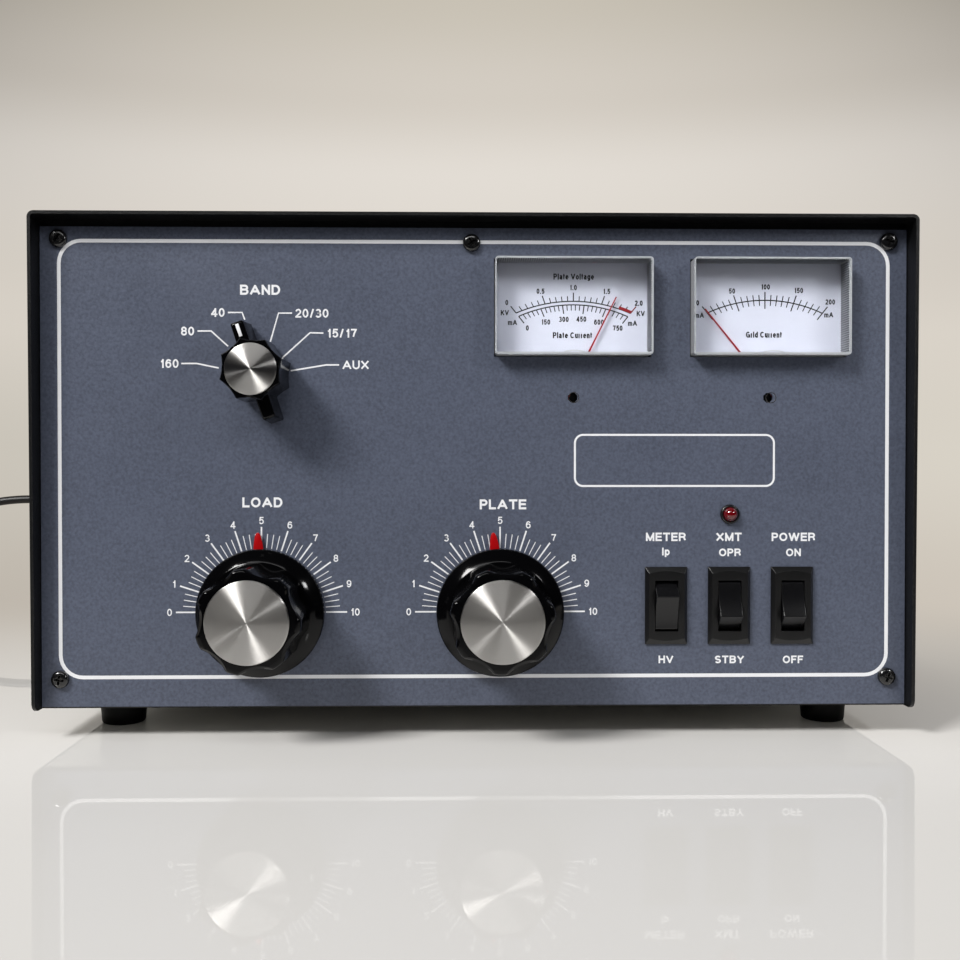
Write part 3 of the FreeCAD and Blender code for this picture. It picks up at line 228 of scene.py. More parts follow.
def makeSurround():                # a soft grey room; glossy parts see the wall behind and dark in front
    world = bpy.data.worlds.new("surround")
    bpy.context.scene.world = world
    world.use_nodes = True
    tree = world.node_tree
    tree.nodes.clear()
    direction = step(tree, "ShaderNodeTexCoord").outputs["Generated"]
    wall = step(tree, "ShaderNodeGroup", {"Vector": direction}, node_tree=backdropGlow).outputs["Color"]
    behind = split(tree, direction)["Y"]
    behind = remap(tree, behind, 0.0, 0.25)
    path = step(tree, "ShaderNodeLightPath").outputs
    mirrored = blend(tree, behind, surround["dark"], wall)
    bent = reckon(tree, "MAXIMUM", path["Is Glossy Ray"], path["Is Transmission Ray"])
    seen = blend(tree, bent, wall, mirrored)
    unlit = reckon(tree, "MAXIMUM", path["Is Camera Ray"], bent)
    light = blend(tree, behind, surround["room"], surround["wallLight"])
    room = step(tree, "ShaderNodeBackground", {"Color": light, "Strength": 1.0})
    backdrop = step(tree, "ShaderNodeBackground", {"Color": seen, "Strength": 1.0})
    mixed = step(tree, "ShaderNodeMixShader", {0: unlit, 1: room.outputs[0], 2: backdrop.outputs[0]})
    step(tree, "ShaderNodeOutputWorld", {"Surface": mixed.outputs[0]})


def floorSurface(tree, place, parts):              # faint clouds and polish; painted shade a little darker further in front, and painted light a little brighter just before the cabinet, against its shadow
    shade = remap(tree, noise(tree, place, 3.0, 3.0), 0.0, 1.0, 0.985, 1.015)
    # painted shade: darker further in front, evening out the lamps' light on the floor
    frontShade = remap(tree, parts["Y"], -0.45, -0.2, floorLook["front"], 1.0)
    # painted light: a little brighter just before and under the cabinet front, against its shadow
    under = remap(tree, parts["Y"], -0.26, -0.18, 1.0, 1.08)
    shade = times(tree, times(tree, shade, frontShade), under)
    colour = scaled(tree, floorLook["near"][:3], shade)
    rough = floorLook["rough"]
    gloss = remap(tree, noise(tree, place, 60.0, 4.0), 0.0, 1.0, rough - 0.01, rough + 0.02)
    return step(tree, "ShaderNodeBsdfPrincipled", {"Base Color": colour, "Roughness": gloss,
                                                   "IOR": floorLook["ior"]})


def floorFade(tree, parts, sight, path):           # runs into the wall with distance, never under the cabinet
    fade = remap(tree, lengthOf(tree, sight), floorLook["fadeStart"], floorLook["fadeEnd"], smooth=True)
    wide = remap(tree, reckon(tree, "ABSOLUTE", parts["X"]), 0.16, 0.26)
    deep = remap(tree, reckon(tree, "ABSOLUTE", parts["Y"]), 0.18, 0.34)
    fade = times(tree, fade, reckon(tree, "MAXIMUM", wide, deep))
    return times(tree, fade, reckon(tree, "MAXIMUM", path["Is Camera Ray"], path["Is Glossy Ray"]))


def makeFloor():                   # pale glossy table top that runs into the wall behind
    mesh, reach = bpy.data.meshes.new("floor"), 6.0
    corners = [(-reach, -reach, 0), (reach, -reach, 0), (reach, reach, 0), (-reach, reach, 0)]
    mesh.from_pydata(corners, [], [(0, 1, 2, 3)])
    material, tree = newMaterial("white laminate", floorLook["near"])
    place = step(tree, "ShaderNodeTexCoord").outputs["Object"]
    parts = split(tree, place)
    path = step(tree, "ShaderNodeLightPath").outputs
    lens = tuple(value * mm for value in view["place"])
    sight = step(tree, "ShaderNodeVectorMath", {0: place, 1: lens}, operation="SUBTRACT").outputs[0]
    edge = remap(tree, parts["Y"], floorLook["edge"] + 0.04, floorLook["edge"] - 0.04)
    beyond = times(tree, edge, minus(tree, 1.0, path["Is Camera Ray"]))       # the dark room past the table
    wall = step(tree, "ShaderNodeGroup", {"Vector": sight}, node_tree=backdropGlow).outputs["Color"]
    far = step(tree, "ShaderNodeEmission", {"Color": wall, "Strength": 1.0})
    near, fade = floorSurface(tree, place, parts), floorFade(tree, parts, sight, path)
    mixed = step(tree, "ShaderNodeMixShader", {0: fade, 1: near.outputs[0], 2: far.outputs[0]})
    unseen = step(tree, "ShaderNodeEmission", {"Color": surround["dark"], "Strength": 1.0})
    mixed = step(tree, "ShaderNodeMixShader", {0: beyond, 1: mixed.outputs[0], 2: unseen.outputs[0]})
    step(tree, "ShaderNodeOutputMaterial", {"Surface": mixed.outputs[0]})
    mesh.materials.append(material)
    link(bpy.data.objects.new("floor", mesh))


makeCamera()
makeLamps()
makeSurround()
makeFloor()
bpy.context.scene.view_settings.view_transform = "Standard"
print("camera, lamps and floor set")


# ---- shader groups ----
def makeGrainGroup():              # fine grain, soft blotches and smudges
    tree, given, sink = newTree("fine grain", "ShaderNodeTree", {
        "Vector": "Vector", "Color": "Color", "Fleck": "Color",
        "Fleck Amount": 0.0, "Scale": 400.0, "Spread": 0.1,
        "Roughness": 0.5, "Rough Spread": 0.1, "Blotches": 1.0},
        {"Color": "Color", "Roughness": "Float", "Height": "Float"})
    grain = noise(tree, given["Vector"], given["Scale"], 3.0, rough=0.6)
    coarse = times(tree, given["Scale"], 0.04)
    blotch = noise(tree, given["Vector"], coarse, 3.0)
    smudge = noise(tree, given["Vector"], 14.0, 4.0, twist=0.6)
    soft = reckon(tree, "MULTIPLY_ADD", minus(tree, blotch, 0.5), given["Blotches"], 0.5)
    both = plus(tree, grain, soft)
    shade = reckon(tree, "MULTIPLY_ADD", minus(tree, both, 1.0), given["Spread"], 1.0)
    shaded = scaled(tree, given["Color"], shade)
    specks = noise(tree, given["Vector"], times(tree, given["Scale"], 0.7), 1.0)
    speck = remap(tree, specks, 0.66, 0.74, 0.0, given["Fleck Amount"])
    flecked = blend(tree, speck, shaded, given["Fleck"])
    swing = times(tree, minus(tree, smudge, 0.5), given["Rough Spread"])
    rough = reckon(tree, "MULTIPLY_ADD", swing, 2.0, given["Roughness"])
    deliver(tree, sink, {"Color": flecked, "Roughness": rough, "Height": grain})
    return tree


def makeWearGroup():               # paint rubbed thin along sharp edges
    tree, given, sink = newTree("edge wear", "ShaderNodeTree", {
        "Vector": "Vector", "Color": "Color", "Worn": "Color",
        "Radius": 0.0006, "Amount": 0.5, "Break Up": 300.0},
        {"Color": "Color", "Mask": "Float"})
    rounded = step(tree, "ShaderNodeBevel", {"Radius": given["Radius"]}, samples=4).outputs["Normal"]
    flat = step(tree, "ShaderNodeNewGeometry").outputs["Normal"]
    match = step(tree, "ShaderNodeVectorMath", {0: rounded, 1: flat},
                 operation="DOT_PRODUCT").outputs["Value"]
    edge = remap(tree, match, 0.995, 0.93)
    breaks = noise(tree, given["Vector"], given["Break Up"], 4.0)
    patches = remap(tree, breaks, 0.42, 0.62)
    mask = times(tree, times(tree, edge, patches), given["Amount"])
    worn = blend(tree, mask, given["Color"], given["Worn"])
    deliver(tree, sink, {"Color": worn, "Mask": mask})
    return tree


def makeDustGroup():               # a little dust on what faces up
    tree, given, sink = newTree("settled dust", "ShaderNodeTree", {
        "Vector": "Vector", "Color": "Color", "Dust": "Color",
        "Amount": 0.1}, {"Color": "Color", "Mask": "Float"})
    normal = step(tree, "ShaderNodeNewGeometry").outputs["Normal"]
    facing = split(tree, normal)["Z"]
    cloud = noise(tree, given["Vector"], 45.0, 6.0, rough=0.7)
    patches = remap(tree, cloud, 0.35, 0.75)
    upward = remap(tree, facing, 0.2, 1.0)
    mask = times(tree, times(tree, upward, patches), given["Amount"])
    dusty = blend(tree, mask, given["Color"], given["Dust"])
    deliver(tree, sink, {"Color": dusty, "Mask": mask})
    return tree


def makeRingsGroup():              # turned rings round the Z axis of the vector
    tree, given, sink = newTree("turned rings", "ShaderNodeTree", {
        "Vector": "Vector", "Color": "Color", "Pitch": 0.0002,
        "Spread": 0.08, "Roughness": 0.25},
        {"Color": "Color", "Roughness": "Float", "Height": "Float"})
    parts = split(tree, given["Vector"])
    flat = combine(tree, x=parts["X"], y=parts["Y"])
    radius = lengthOf(tree, flat)
    along = reckon(tree, "DIVIDE", radius, given["Pitch"])
    rings = step(tree, "ShaderNodeTexNoise", {"W": along, "Scale": 1.0, "Detail": 3.0, "Roughness": 0.8},
                 noise_dimensions="1D").outputs["Fac"]
    shade = reckon(tree, "MULTIPLY_ADD", minus(tree, rings, 0.5), given["Spread"], 1.0)
    shaded = scaled(tree, given["Color"], shade)
    rough = reckon(tree, "MULTIPLY_ADD", minus(tree, rings, 0.5), 0.12, given["Roughness"])
    deliver(tree, sink, {"Color": shaded, "Roughness": rough, "Height": rings})
    return tree


fineGrain, edgeWear = makeGrainGroup(), makeWearGroup()
settledDust, turnedRings = makeDustGroup(), makeRingsGroup()


# ---- finishes ----
plainLook = {"stretch": (1, 1, 1), "scale": 500.0, "spread": 0.12, "roughSpread": 0.08, "blotches": 1.0,
             "flecks": 0.0,
             "wear": 0.5, "wearRadius": 0.0006, "breakUp": 300.0, "bump": 0.15, "depth": 0.0002, "metal": 0.0,
             "coat": 0.0, "coatRough": 0.1, "ior": 1.5, "clear": 0.0, "specular": 0.5, "glow": 0.0,
             "glowColor": (0, 0, 0, 1)}             # what a look has unless it says otherwise
dustTone, passedLight = tone(150, 146, 138), (0.93, 0.94, 0.94, 1)


def overlaid(tree, look, place, colour):           # wear, dust and painted shade over the grained colour
    if "worn" in look:
        colour = step(tree, "ShaderNodeGroup", {
            "Vector": place, "Color": colour, "Worn": look["worn"], "Amount": look["wear"],
            "Radius": look["wearRadius"], "Break Up": look["breakUp"]}, node_tree=edgeWear).outputs["Color"]
    if "dust" in look:
        colour = step(tree, "ShaderNodeGroup", {
            "Vector": place, "Color": colour, "Dust": dustTone, "Amount": look["dust"]},
            node_tree=settledDust).outputs["Color"]
    if "shade" in look:            # painted shade: softly darker towards the top of the window, where its top wall shades the card
        low, high, darkest = look["shade"]
        colour = scaled(tree, colour, remap(tree, split(tree, place)["Z"], low, high, 1.0, darkest,
                                            smooth=True))
    return colour


def makeFinish(name, look):        # one material from its dictionary
    look = {**plainLook, "fleck": look["color"], **look}
    material, tree = newMaterial(name, look["color"])
    place = step(tree, "ShaderNodeTexCoord").outputs["Object"]
    turned = step(tree, "ShaderNodeMapping", {"Vector": place, "Scale": look["stretch"]}).outputs[0]
    grain = step(tree, "ShaderNodeGroup", {
        "Vector": turned, "Color": look["color"], "Fleck": look["fleck"], "Fleck Amount": look["flecks"],
        "Scale": look["scale"], "Spread": look["spread"], "Roughness": look["rough"],
        "Rough Spread": look["roughSpread"], "Blotches": look["blotches"]}, node_tree=fineGrain).outputs
    colour, metal = overlaid(tree, look, place, grain["Color"]), look["metal"]
    if "front" in look:            # black where it shows round the panel
        bare = remap(tree, split(tree, place)["Y"], panelY + 0.0044, panelY + 0.0046)
        colour, metal = blend(tree, bare, look["front"], colour), times(tree, bare, metal)
    bump = step(tree, "ShaderNodeBump", {"Strength": look["bump"], "Distance": look["depth"],
                                         "Height": grain["Height"]})
    shown = step(tree, "ShaderNodeBsdfPrincipled", {
        "Base Color": colour, "Roughness": grain["Roughness"], "Metallic": metal, "Coat Weight": look["coat"],
        "Coat Roughness": look["coatRough"], "IOR": look["ior"], "Transmission Weight": look["clear"],
        "Specular IOR Level": look["specular"], "Emission Strength": look["glow"],
        "Emission Color": look["glowColor"], "Normal": bump.outputs["Normal"]}).outputs[0]
    if look["clear"]:              # light passes straight on to what lies behind
        shadow = step(tree, "ShaderNodeLightPath").outputs["Is Shadow Ray"]
        through = step(tree, "ShaderNodeBsdfTransparent", {"Color": passedLight})
        shown = step(tree, "ShaderNodeMixShader", {0: shadow, 1: shown, 2: through.outputs[0]}).outputs[0]
    step(tree, "ShaderNodeOutputMaterial", {"Surface": shown})
    return material


looks = {
    "panel paint": {"color": tone(82, 88, 104), "rough": 0.37, "roughSpread": 0.08, "scale": 850,
                    "spread": 1.1, "blotches": 0.22, "bump": 1.0,
                    "depth": 0.0001, "specular": 0.45},
    "cover paint": {"color": tone(7, 7, 8), "rough": 0.4, "scale": 1300, "spread": 0.5, "bump": 0.6,
                    "depth": 0.0002,
                    "worn": tone(84, 83,
                                 81), "wear": 0.42, "wearRadius": 0.0003, "breakUp": 1900, "dust": 0.01,
                    "fleck": tone(60, 60, 60), "flecks": 0.25, "specular": 0.4},
    "panel ink": {"color": tone(236, 237, 240), "rough": 0.5, "scale": 2200, "spread": 0.08, "bump": 0.1,
                  "depth": 0.00003},
    "knob plastic": {"color": tone(4, 4, 5), "rough": 0.1, "roughSpread": 0.04, "scale": 350, "spread": 0.2,
                     "bump": 0.03,
                     "depth": 0.0002, "dust": 0.004, "specular": 0.22},
    "pointer red": {"color": tone(166, 4, 10), "rough": 0.3, "scale": 900, "spread": 0.15, "bump": 0.05,
                    "specular": 0.3},
    "switch plastic": {"color": tone(12, 12, 13), "rough": 0.3, "roughSpread": 0.06, "scale": 1600,
                       "spread": 0.2,
                       "bump": 0.25, "depth": 0.00008, "dust": 0.02},
    "black screw": {"color": tone(14, 14, 15), "rough": 0.2, "scale": 900, "spread": 0.3, "bump": 0.1,
                    "coat": 0.6,
                    "worn": tone(150, 148, 144), "wear": 0.5, "wearRadius": 0.00015},
    "foot rubber": {"color": tone(4, 4, 4), "rough": 0.55, "scale": 900, "spread": 0.3, "bump": 0.3,
                    "dust": 0.01, "specular": 0.2},
    "cord vinyl": {"color": tone(9, 9, 10), "rough": 0.42, "scale": 700, "spread": 0.25, "bump": 0.1,
                   "dust": 0.03},
    "zinc steel": {"color": tone(172, 172, 166), "rough": 0.38, "metal": 0.9, "scale": 220, "spread": 0.25,
                   "bump": 0.05,
                   "stretch": (1, 6, 1)},
    "chassis steel": {"color": tone(172, 172, 166), "rough": 0.38, "metal": 0.9, "scale": 220,
                      "spread": 0.25, "bump": 0.05,
                      "stretch": (1, 6, 1), "front": tone(10, 10, 11)},
    "nickel": {"color": tone(196, 192, 184), "rough": 0.22, "metal": 1.0, "scale": 500, "spread": 0.12,
               "bump": 0.05},
    "shaft steel": {"color": tone(178, 178, 176), "rough": 0.28, "metal": 1.0, "scale": 900, "spread": 0.15,
                    "bump": 0.05},
    "vane aluminium": {"color": tone(204, 205, 206), "rough": 0.35, "metal": 1.0, "scale": 260,
                       "spread": 0.12, "bump": 0.06,
                       "stretch": (1, 1, 7)},
    "brass": {"color": tone(200, 165, 92), "rough": 0.27, "metal": 1.0, "scale": 500, "spread": 0.15,
              "bump": 0.05},
    "ceramic": {"color": tone(226, 221, 208), "rough": 0.34, "scale": 350, "spread": 0.08, "bump": 0.08},
    "meter clear": {"color": tone(250, 252, 252), "rough": 0.02, "roughSpread": 0.01, "scale": 60,
                    "spread": 0.01, "bump": 0.004,
                    "clear": 1.0, "ior": 1.16},
    # the card's "shade" band is painted shade from the window's top wall
    "meter card": {"color": tone(196, 197, 212), "rough": 0.55, "scale": 1800, "spread": 0.03, "bump": 0.05,
                   "shade": (0.168, 0.194, 0.78)},
    "meter wall": {"color": tone(148, 149, 152), "rough": 0.3, "scale": 500, "spread": 0.3, "bump": 0.15},
    # ribs a darker copy of the wall colour: painted shade, so they read as stripes
    "meter rib": {"color": tone(88, 90, 96), "rough": 0.3, "scale": 900, "spread": 0.2, "bump": 0.05},
    "card black": {"color": tone(6, 6, 8), "rough": 0.6, "scale": 2500, "spread": 0.2, "bump": 0.05},
    "card red": {"color": tone(140, 10, 26), "rough": 0.5, "scale": 2500, "spread": 0.2, "bump": 0.05},
    "needle red": {"color": tone(142, 8, 22), "rough": 0.35, "scale": 900, "spread": 0.1, "bump": 0.05},
    "meter black": {"color": tone(24, 24, 25), "rough": 0.5, "scale": 800, "spread": 0.2, "bump": 0.15},
    "rocker plastic": {"color": tone(11, 11, 13), "rough": 0.25, "roughSpread": 0.05, "scale": 1600,
                       "spread": 0.15,
                       "bump": 0.15, "depth": 0.00006},
    # painted highlight colour for the bright window edges
    "meter edge highlight": {"color": tone(186, 189, 194), "rough": 0.22, "scale": 300, "spread": 0.08, "bump": 0.05,
                   "coat": 0.5},
    "indicator ring": {"color": tone(17, 17, 18), "rough": 0.3, "scale": 800, "spread": 0.2, "bump": 0.05},
    "indicator red": {"color": tone(92, 3, 9), "rough": 0.08, "scale": 500, "spread": 0.2, "bump": 0.01,
                      "coat": 1.0,
                      "coatRough": 0.03, "glow": 0.02, "glowColor": (0.5, 0.0, 0.01, 1)},
    "tube glass": {"color": tone(246, 250, 250), "rough": 0.02, "roughSpread": 0.01, "scale": 50,
                   "spread": 0.02, "bump": 0.01,
                   "clear": 1.0, "ior": 1.45},
    "anode graphite": {"color": tone(58, 58, 60), "rough": 0.6, "scale": 900, "spread": 0.3, "bump": 0.2,
                       "metal": 0.3},
    "base bakelite": {"color": tone(34, 24, 18), "rough": 0.3, "scale": 500, "spread": 0.4, "bump": 0.05},
    "copper": {"color": tone(196, 116, 76), "rough": 0.25, "metal": 1.0, "scale": 350, "spread": 0.2,
               "bump": 0.05},
    "laminate": {"color": tone(46, 92, 62), "rough": 0.4, "scale": 600, "spread": 0.25, "bump": 0.08},
    "core steel": {"color": tone(74, 72, 70), "rough": 0.45, "metal": 0.8, "scale": 500, "spread": 0.3,
                   "bump": 0.4,
                   "stretch": (0.2, 8, 0.2)},
    "winding paper": {"color": tone(198, 168, 92), "rough": 0.5, "scale": 300, "spread": 0.2, "bump": 0.1,
                      "stretch": (1, 1, 6)},
    "capacitor sleeve": {"color": tone(36, 52, 92), "rough": 0.3, "scale": 300, "spread": 0.15, "bump": 0.03},
    "fan plastic": {"color": tone(24, 24, 25), "rough": 0.42, "scale": 900, "spread": 0.2, "bump": 0.1,
                    "dust": 0.1},
    "fuse plastic": {"color": tone(20, 20, 21), "rough": 0.33, "scale": 900, "spread": 0.2, "bump": 0.08},
}
finish = {name: makeFinish(name, look) for name, look in looks.items()}


def makeSpunFinish(name, centre, look):            # turned metal whose rings run round one shaft
    material, tree = newMaterial(name, look["color"])
    place = step(tree, "ShaderNodeTexCoord").outputs["Object"]
    local = step(tree, "ShaderNodeMapping", {"Vector": place, "Location": centre,
                                             "Rotation": (math.pi / 2, 0, 0)},
                 vector_type="TEXTURE").outputs[0]
    rings = step(tree, "ShaderNodeGroup", {
        "Vector": local, "Color": look["color"], "Pitch": look["pitch"], "Spread": look["spread"],
        "Roughness": look["roughness"]}, node_tree=turnedRings).outputs
    bump = step(tree, "ShaderNodeBump", {"Strength": look["bump"], "Distance": 0.00005,
                                         "Height": rings["Height"]})
    around = step(tree, "ShaderNodeTangent", direction_type="RADIAL", axis="Y").outputs[0]
    surface = step(tree, "ShaderNodeBsdfPrincipled", {
        "Base Color": rings["Color"], "Roughness": rings["Roughness"], "Metallic": 1.0,
        "Anisotropic": look["anisotropy"], "Anisotropic Rotation": 0.25, "Tangent": around,
        "Normal": bump.outputs["Normal"]})
    step(tree, "ShaderNodeOutputMaterial", {"Surface": surface.outputs[0]})
    return material


print("finishes made:", len(finish))


# ---- mesh helpers ----
def onPanel(x, z, turn=0.0, lift=0.0):             # drawn in mm, face up, to the front panel
    return (Matrix.Translation((x * mm, panelY - lift * mm, z * mm)) @ Matrix.Rotation(math.pi / 2, 4, "X")
            @ Matrix.Rotation(math.radians(turn), 4, "Z") @ Matrix.Scale(mm, 4))


def onRear(x, z, turn=0.0, lift=0.0):              # drawn in mm, face up, to the rear panel
    return (Matrix.Translation((x * mm, rearY + lift * mm, z * mm)) @ Matrix.Rotation(-math.pi / 2, 4, "X")
            @ Matrix.Rotation(math.radians(turn), 4, "Z") @ Matrix.Scale(mm, 4))


def loft(name, rings, loops=False):                # quads between rings of equal counts; ends closed
    mesh = bpy.data.meshes.new(name)
    count = len(rings[0])
    points = [p for ring in rings for p in ring]
    faces = []
    for r in range(len(rings) if loops else len(rings) - 1):
        low, high = r * count, ((r + 1) % len(rings)) * count
        for i in range(count):
            k = (i + 1) % count
            faces.append((low + i, low + k, high + k, high + i))
    if not loops:
        faces += [tuple(range(count))[::-1], tuple(range(len(points) - count, len(points)))]
    mesh.from_pydata(points, [], faces)
    return tidied(mesh)


def tidied(mesh, smallest=1e-5):                   # doubles merged, faces turned outwards
    shape = bmesh.new()
    shape.from_mesh(mesh)
    bmesh.ops.remove_doubles(shape, verts=shape.verts, dist=smallest)
    bmesh.ops.dissolve_degenerate(shape, edges=shape.edges, dist=smallest)
    bmesh.ops.recalc_face_normals(shape, faces=shape.faces)
    shape.to_mesh(mesh)
    shape.free()
    return mesh


def lathe(name, profile, sides=96, loops=False):   # (radius, height) pairs in mm, turned round Z
    rings = [[(radius * math.cos(2 * math.pi * i / sides), radius * math.sin(2 * math.pi * i / sides), height)
              for i in range(sides)] for radius, height in profile]
    return loft(name, rings, loops)


def slabBox(name, size, centre=(0, 0, 0), round=0.0, segments=2):     # box with rounded edges
    shape = bmesh.new()
    bmesh.ops.create_cube(shape, size=1.0)
    bmesh.ops.transform(shape, matrix=Matrix.Translation(centre) @ Matrix.Diagonal((*size, 1)),
                        verts=shape.verts)
    if round:
        bmesh.ops.bevel(shape, geom=shape.edges, offset=round, segments=segments, profile=0.5, affect="EDGES")
    mesh = bpy.data.meshes.new(name)
    shape.to_mesh(mesh)
    shape.free()
    return mesh


def merged(placed):                                # (mesh, matrix) pairs as one mesh
    shape = bmesh.new()
    for mesh, place in placed:
        copy = mesh.copy()
        copy.transform(place)
        shape.from_mesh(copy)
        bpy.data.meshes.remove(copy)
    whole = bpy.data.meshes.new("merged")
    shape.to_mesh(whole)
    shape.free()
    return whole


def everywhere(places, *parts):                    # the same parts at every place, as one mesh
    return merged([(part, place) for place in places for part in parts])


def makePiece(name, mesh, paint, place=None, stands=(), body="cabinet", sharp=32):
    if place is not None:
        mesh.transform(place)
    mesh.name = name
    mesh.materials.clear()
    mesh.materials.append(finish[paint])
    mesh.polygons.foreach_set("material_index", [0] * len(mesh.polygons))
    mesh.shade_smooth()
    mesh.set_sharp_from_angle(angle=math.radians(sharp))
    piece = link(bpy.data.objects.new(name, mesh))
    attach(piece, body)
    if stands:
        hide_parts(*stands)
    return piece


def settled(piece):                                # modifiers turned into a plain mesh
    depsgraph = bpy.context.evaluated_depsgraph_get()
    mesh = bpy.data.meshes.new_from_object(piece.evaluated_get(depsgraph))
    piece.modifiers.clear()
    piece.data = mesh
    return piece


def grown(name, tree, values, base=None):          # the mesh that a geometry tree makes
    holder = link(bpy.data.objects.new(name, base or bpy.data.meshes.new(name)))
    modifier = holder.modifiers.new(name, "NODES")
    modifier.node_group = tree
    sockets = {item.name: item.identifier for item in tree.interface.items_tree if item.in_out == "INPUT"}
    for label, value in values.items():
        modifier[sockets[label]] = value
    depsgraph = bpy.context.evaluated_depsgraph_get()
    mesh = bpy.data.meshes.new_from_object(holder.evaluated_get(depsgraph))
    mesh.name = name
    bpy.data.objects.remove(holder)
    return mesh


def evenFlats(piece):                              # flat faces keep one normal, bends blend between them
    even = piece.modifiers.new("even flats", "WEIGHTED_NORMAL")
    even.mode, even.weight, even.keep_sharp = "FACE_AREA", 90, True
    return settled(piece)


def softened(node, name, width, paint, sharp=20):  # a CAD sheet with its edges eased
    shape = bmesh.new()
    shape.from_mesh(nodes[node].data)
    bmesh.ops.remove_doubles(shape, verts=shape.verts, dist=2e-6)
    bmesh.ops.dissolve_limit(shape, angle_limit=math.radians(0.5), verts=shape.verts, edges=shape.edges)
    mesh = bpy.data.meshes.new(name)
    shape.to_mesh(mesh)
    shape.free()
    piece = link(bpy.data.objects.new(name, mesh))
    ease = piece.modifiers.new("eased edges", "BEVEL")
    ease.width, ease.segments, ease.limit_method, ease.angle_limit = width, 2, "ANGLE", math.radians(35)
    settled(piece)
    piece.data.shade_smooth()
    piece.data.set_sharp_from_angle(angle=math.radians(sharp))
    eased = evenFlats(piece).data
    bpy.data.objects.remove(piece)
    return makePiece(name, eased, paint, None, (node,), sharp=sharp)


def pointsMesh(name, places):                                    # (place, aim) pairs in metres
    mesh = bpy.data.meshes.new(name)
    mesh.from_pydata([place for place, aim in places], [], [])
    aims = mesh.attributes.new("aim", "FLOAT_VECTOR", "POINT")
    for value, (place, aim) in zip(aims.data, places):
        value.vector = aim
    return mesh


def scattered(part, places, values):               # copies of one part at (place, aim) pairs
    mesh = grown("copies", scatterTree, {"Part": part, **values}, pointsMesh("places", places))
    bpy.data.objects.remove(part)
    return mesh


# ---- geometry trees ----
def polar(tree, angle, reach, height=0.0):
    across, along = reckon(tree, "COSINE", angle), reckon(tree, "SINE", angle)
    return combine(tree, times(tree, across, reach), times(tree, along, reach), height)


def eitherOf(tree, chosen, no, yes):
    return step(tree, "GeometryNodeSwitch", {"Switch": chosen, "False": no, "True": yes},
                input_type="FLOAT").outputs[0]


def paintedTree(tree, sink, geometry, paint):      # every tree ends in real geometry with its material
    real = step(tree, "GeometryNodeRealizeInstances", {"Geometry": geometry}).outputs[0]
    painted = step(tree, "GeometryNodeSetMaterial", {"Geometry": real, "Material": paint}).outputs[0]
    deliver(tree, sink, {"Geometry": painted})
    return tree


def tickReach(tree, given, angle):                 # from the pivot to the arc, whose centre lies below it
    rise = times(tree, reckon(tree, "SINE", angle), given["Drop"])
    inner = minus(tree, times(tree, rise, rise), times(tree, given["Drop"], given["Drop"]))
    inner = reckon(tree, "MULTIPLY_ADD", given["Radius"], given["Radius"], inner)
    return minus(tree, reckon(tree, "SQRT", inner), rise)


def makeTickTree():                # ticks round an arc, long ones at a fixed interval
    tree, given, sink = newTree("arc ticks", "GeometryNodeTree", {
        "Count": 11, "First Angle": 180.0, "Step Angle": -4.5, "Radius": 25.0, "Drop": 0.0, "Anchor": 0.5,
        "Long": 9.0, "Short": 6.0, "Long Every": 4, "Long Width": 0.5, "Short Width": 0.3, "Thickness": 0.06,
        "Paint": "Material"}, {"Geometry": "Geometry"})
    index = step(tree, "GeometryNodeInputIndex").outputs[0]
    degrees = reckon(tree, "MULTIPLY_ADD", index, given["Step Angle"], given["First Angle"])
    angle = reckon(tree, "RADIANS", degrees)
    place = polar(tree, angle, tickReach(tree, given, angle))
    points = step(tree, "GeometryNodePoints", {"Count": given["Count"], "Position": place}).outputs[0]
    bar = step(tree, "GeometryNodeMeshCube", {"Size": (1.0, 1.0, 1.0)}).outputs["Mesh"]
    start = combine(tree, x=given["Anchor"])
    bar = step(tree, "GeometryNodeTransform", {"Geometry": bar, "Translation": start}).outputs[0]
    isLong = reckon(tree, "LESS_THAN", reckon(tree, "MODULO", index, given["Long Every"]), 0.5)
    length = eitherOf(tree, isLong, given["Short"], given["Long"])
    width = eitherOf(tree, isLong, given["Short Width"], given["Long Width"])
    size = combine(tree, length, width, given["Thickness"])
    turn = step(tree, "FunctionNodeEulerToRotation", {0: combine(tree, z=angle)}).outputs[0]
    placed = step(tree, "GeometryNodeInstanceOnPoints", {
        "Points": points, "Instance": bar, "Rotation": turn, "Scale": size}).outputs[0]
    return paintedTree(tree, sink, placed, given["Paint"])


def makeLineTree():                # a printed line along a flat path
    tree, given, sink = newTree("printed line", "GeometryNodeTree", {
        "Geometry": "Geometry", "Line Width": 0.5, "Thickness": 0.06, "Paint": "Material"},
        {"Geometry": "Geometry"})
    path = step(tree, "GeometryNodeMeshToCurve", {"Mesh": given["Geometry"]}).outputs[0]
    path = step(tree, "GeometryNodeSetCurveNormal", {"Curve": path}, mode="Z_UP").outputs[0]
    section = step(tree, "GeometryNodeCurvePrimitiveQuadrilateral", {
        "Width": given["Line Width"], "Height": given["Thickness"]}, mode="RECTANGLE").outputs[0]
    strip = step(tree, "GeometryNodeCurveToMesh", {
        "Curve": path, "Profile Curve": section, "Fill Caps": True}).outputs[0]
    return paintedTree(tree, sink, strip, given["Paint"])


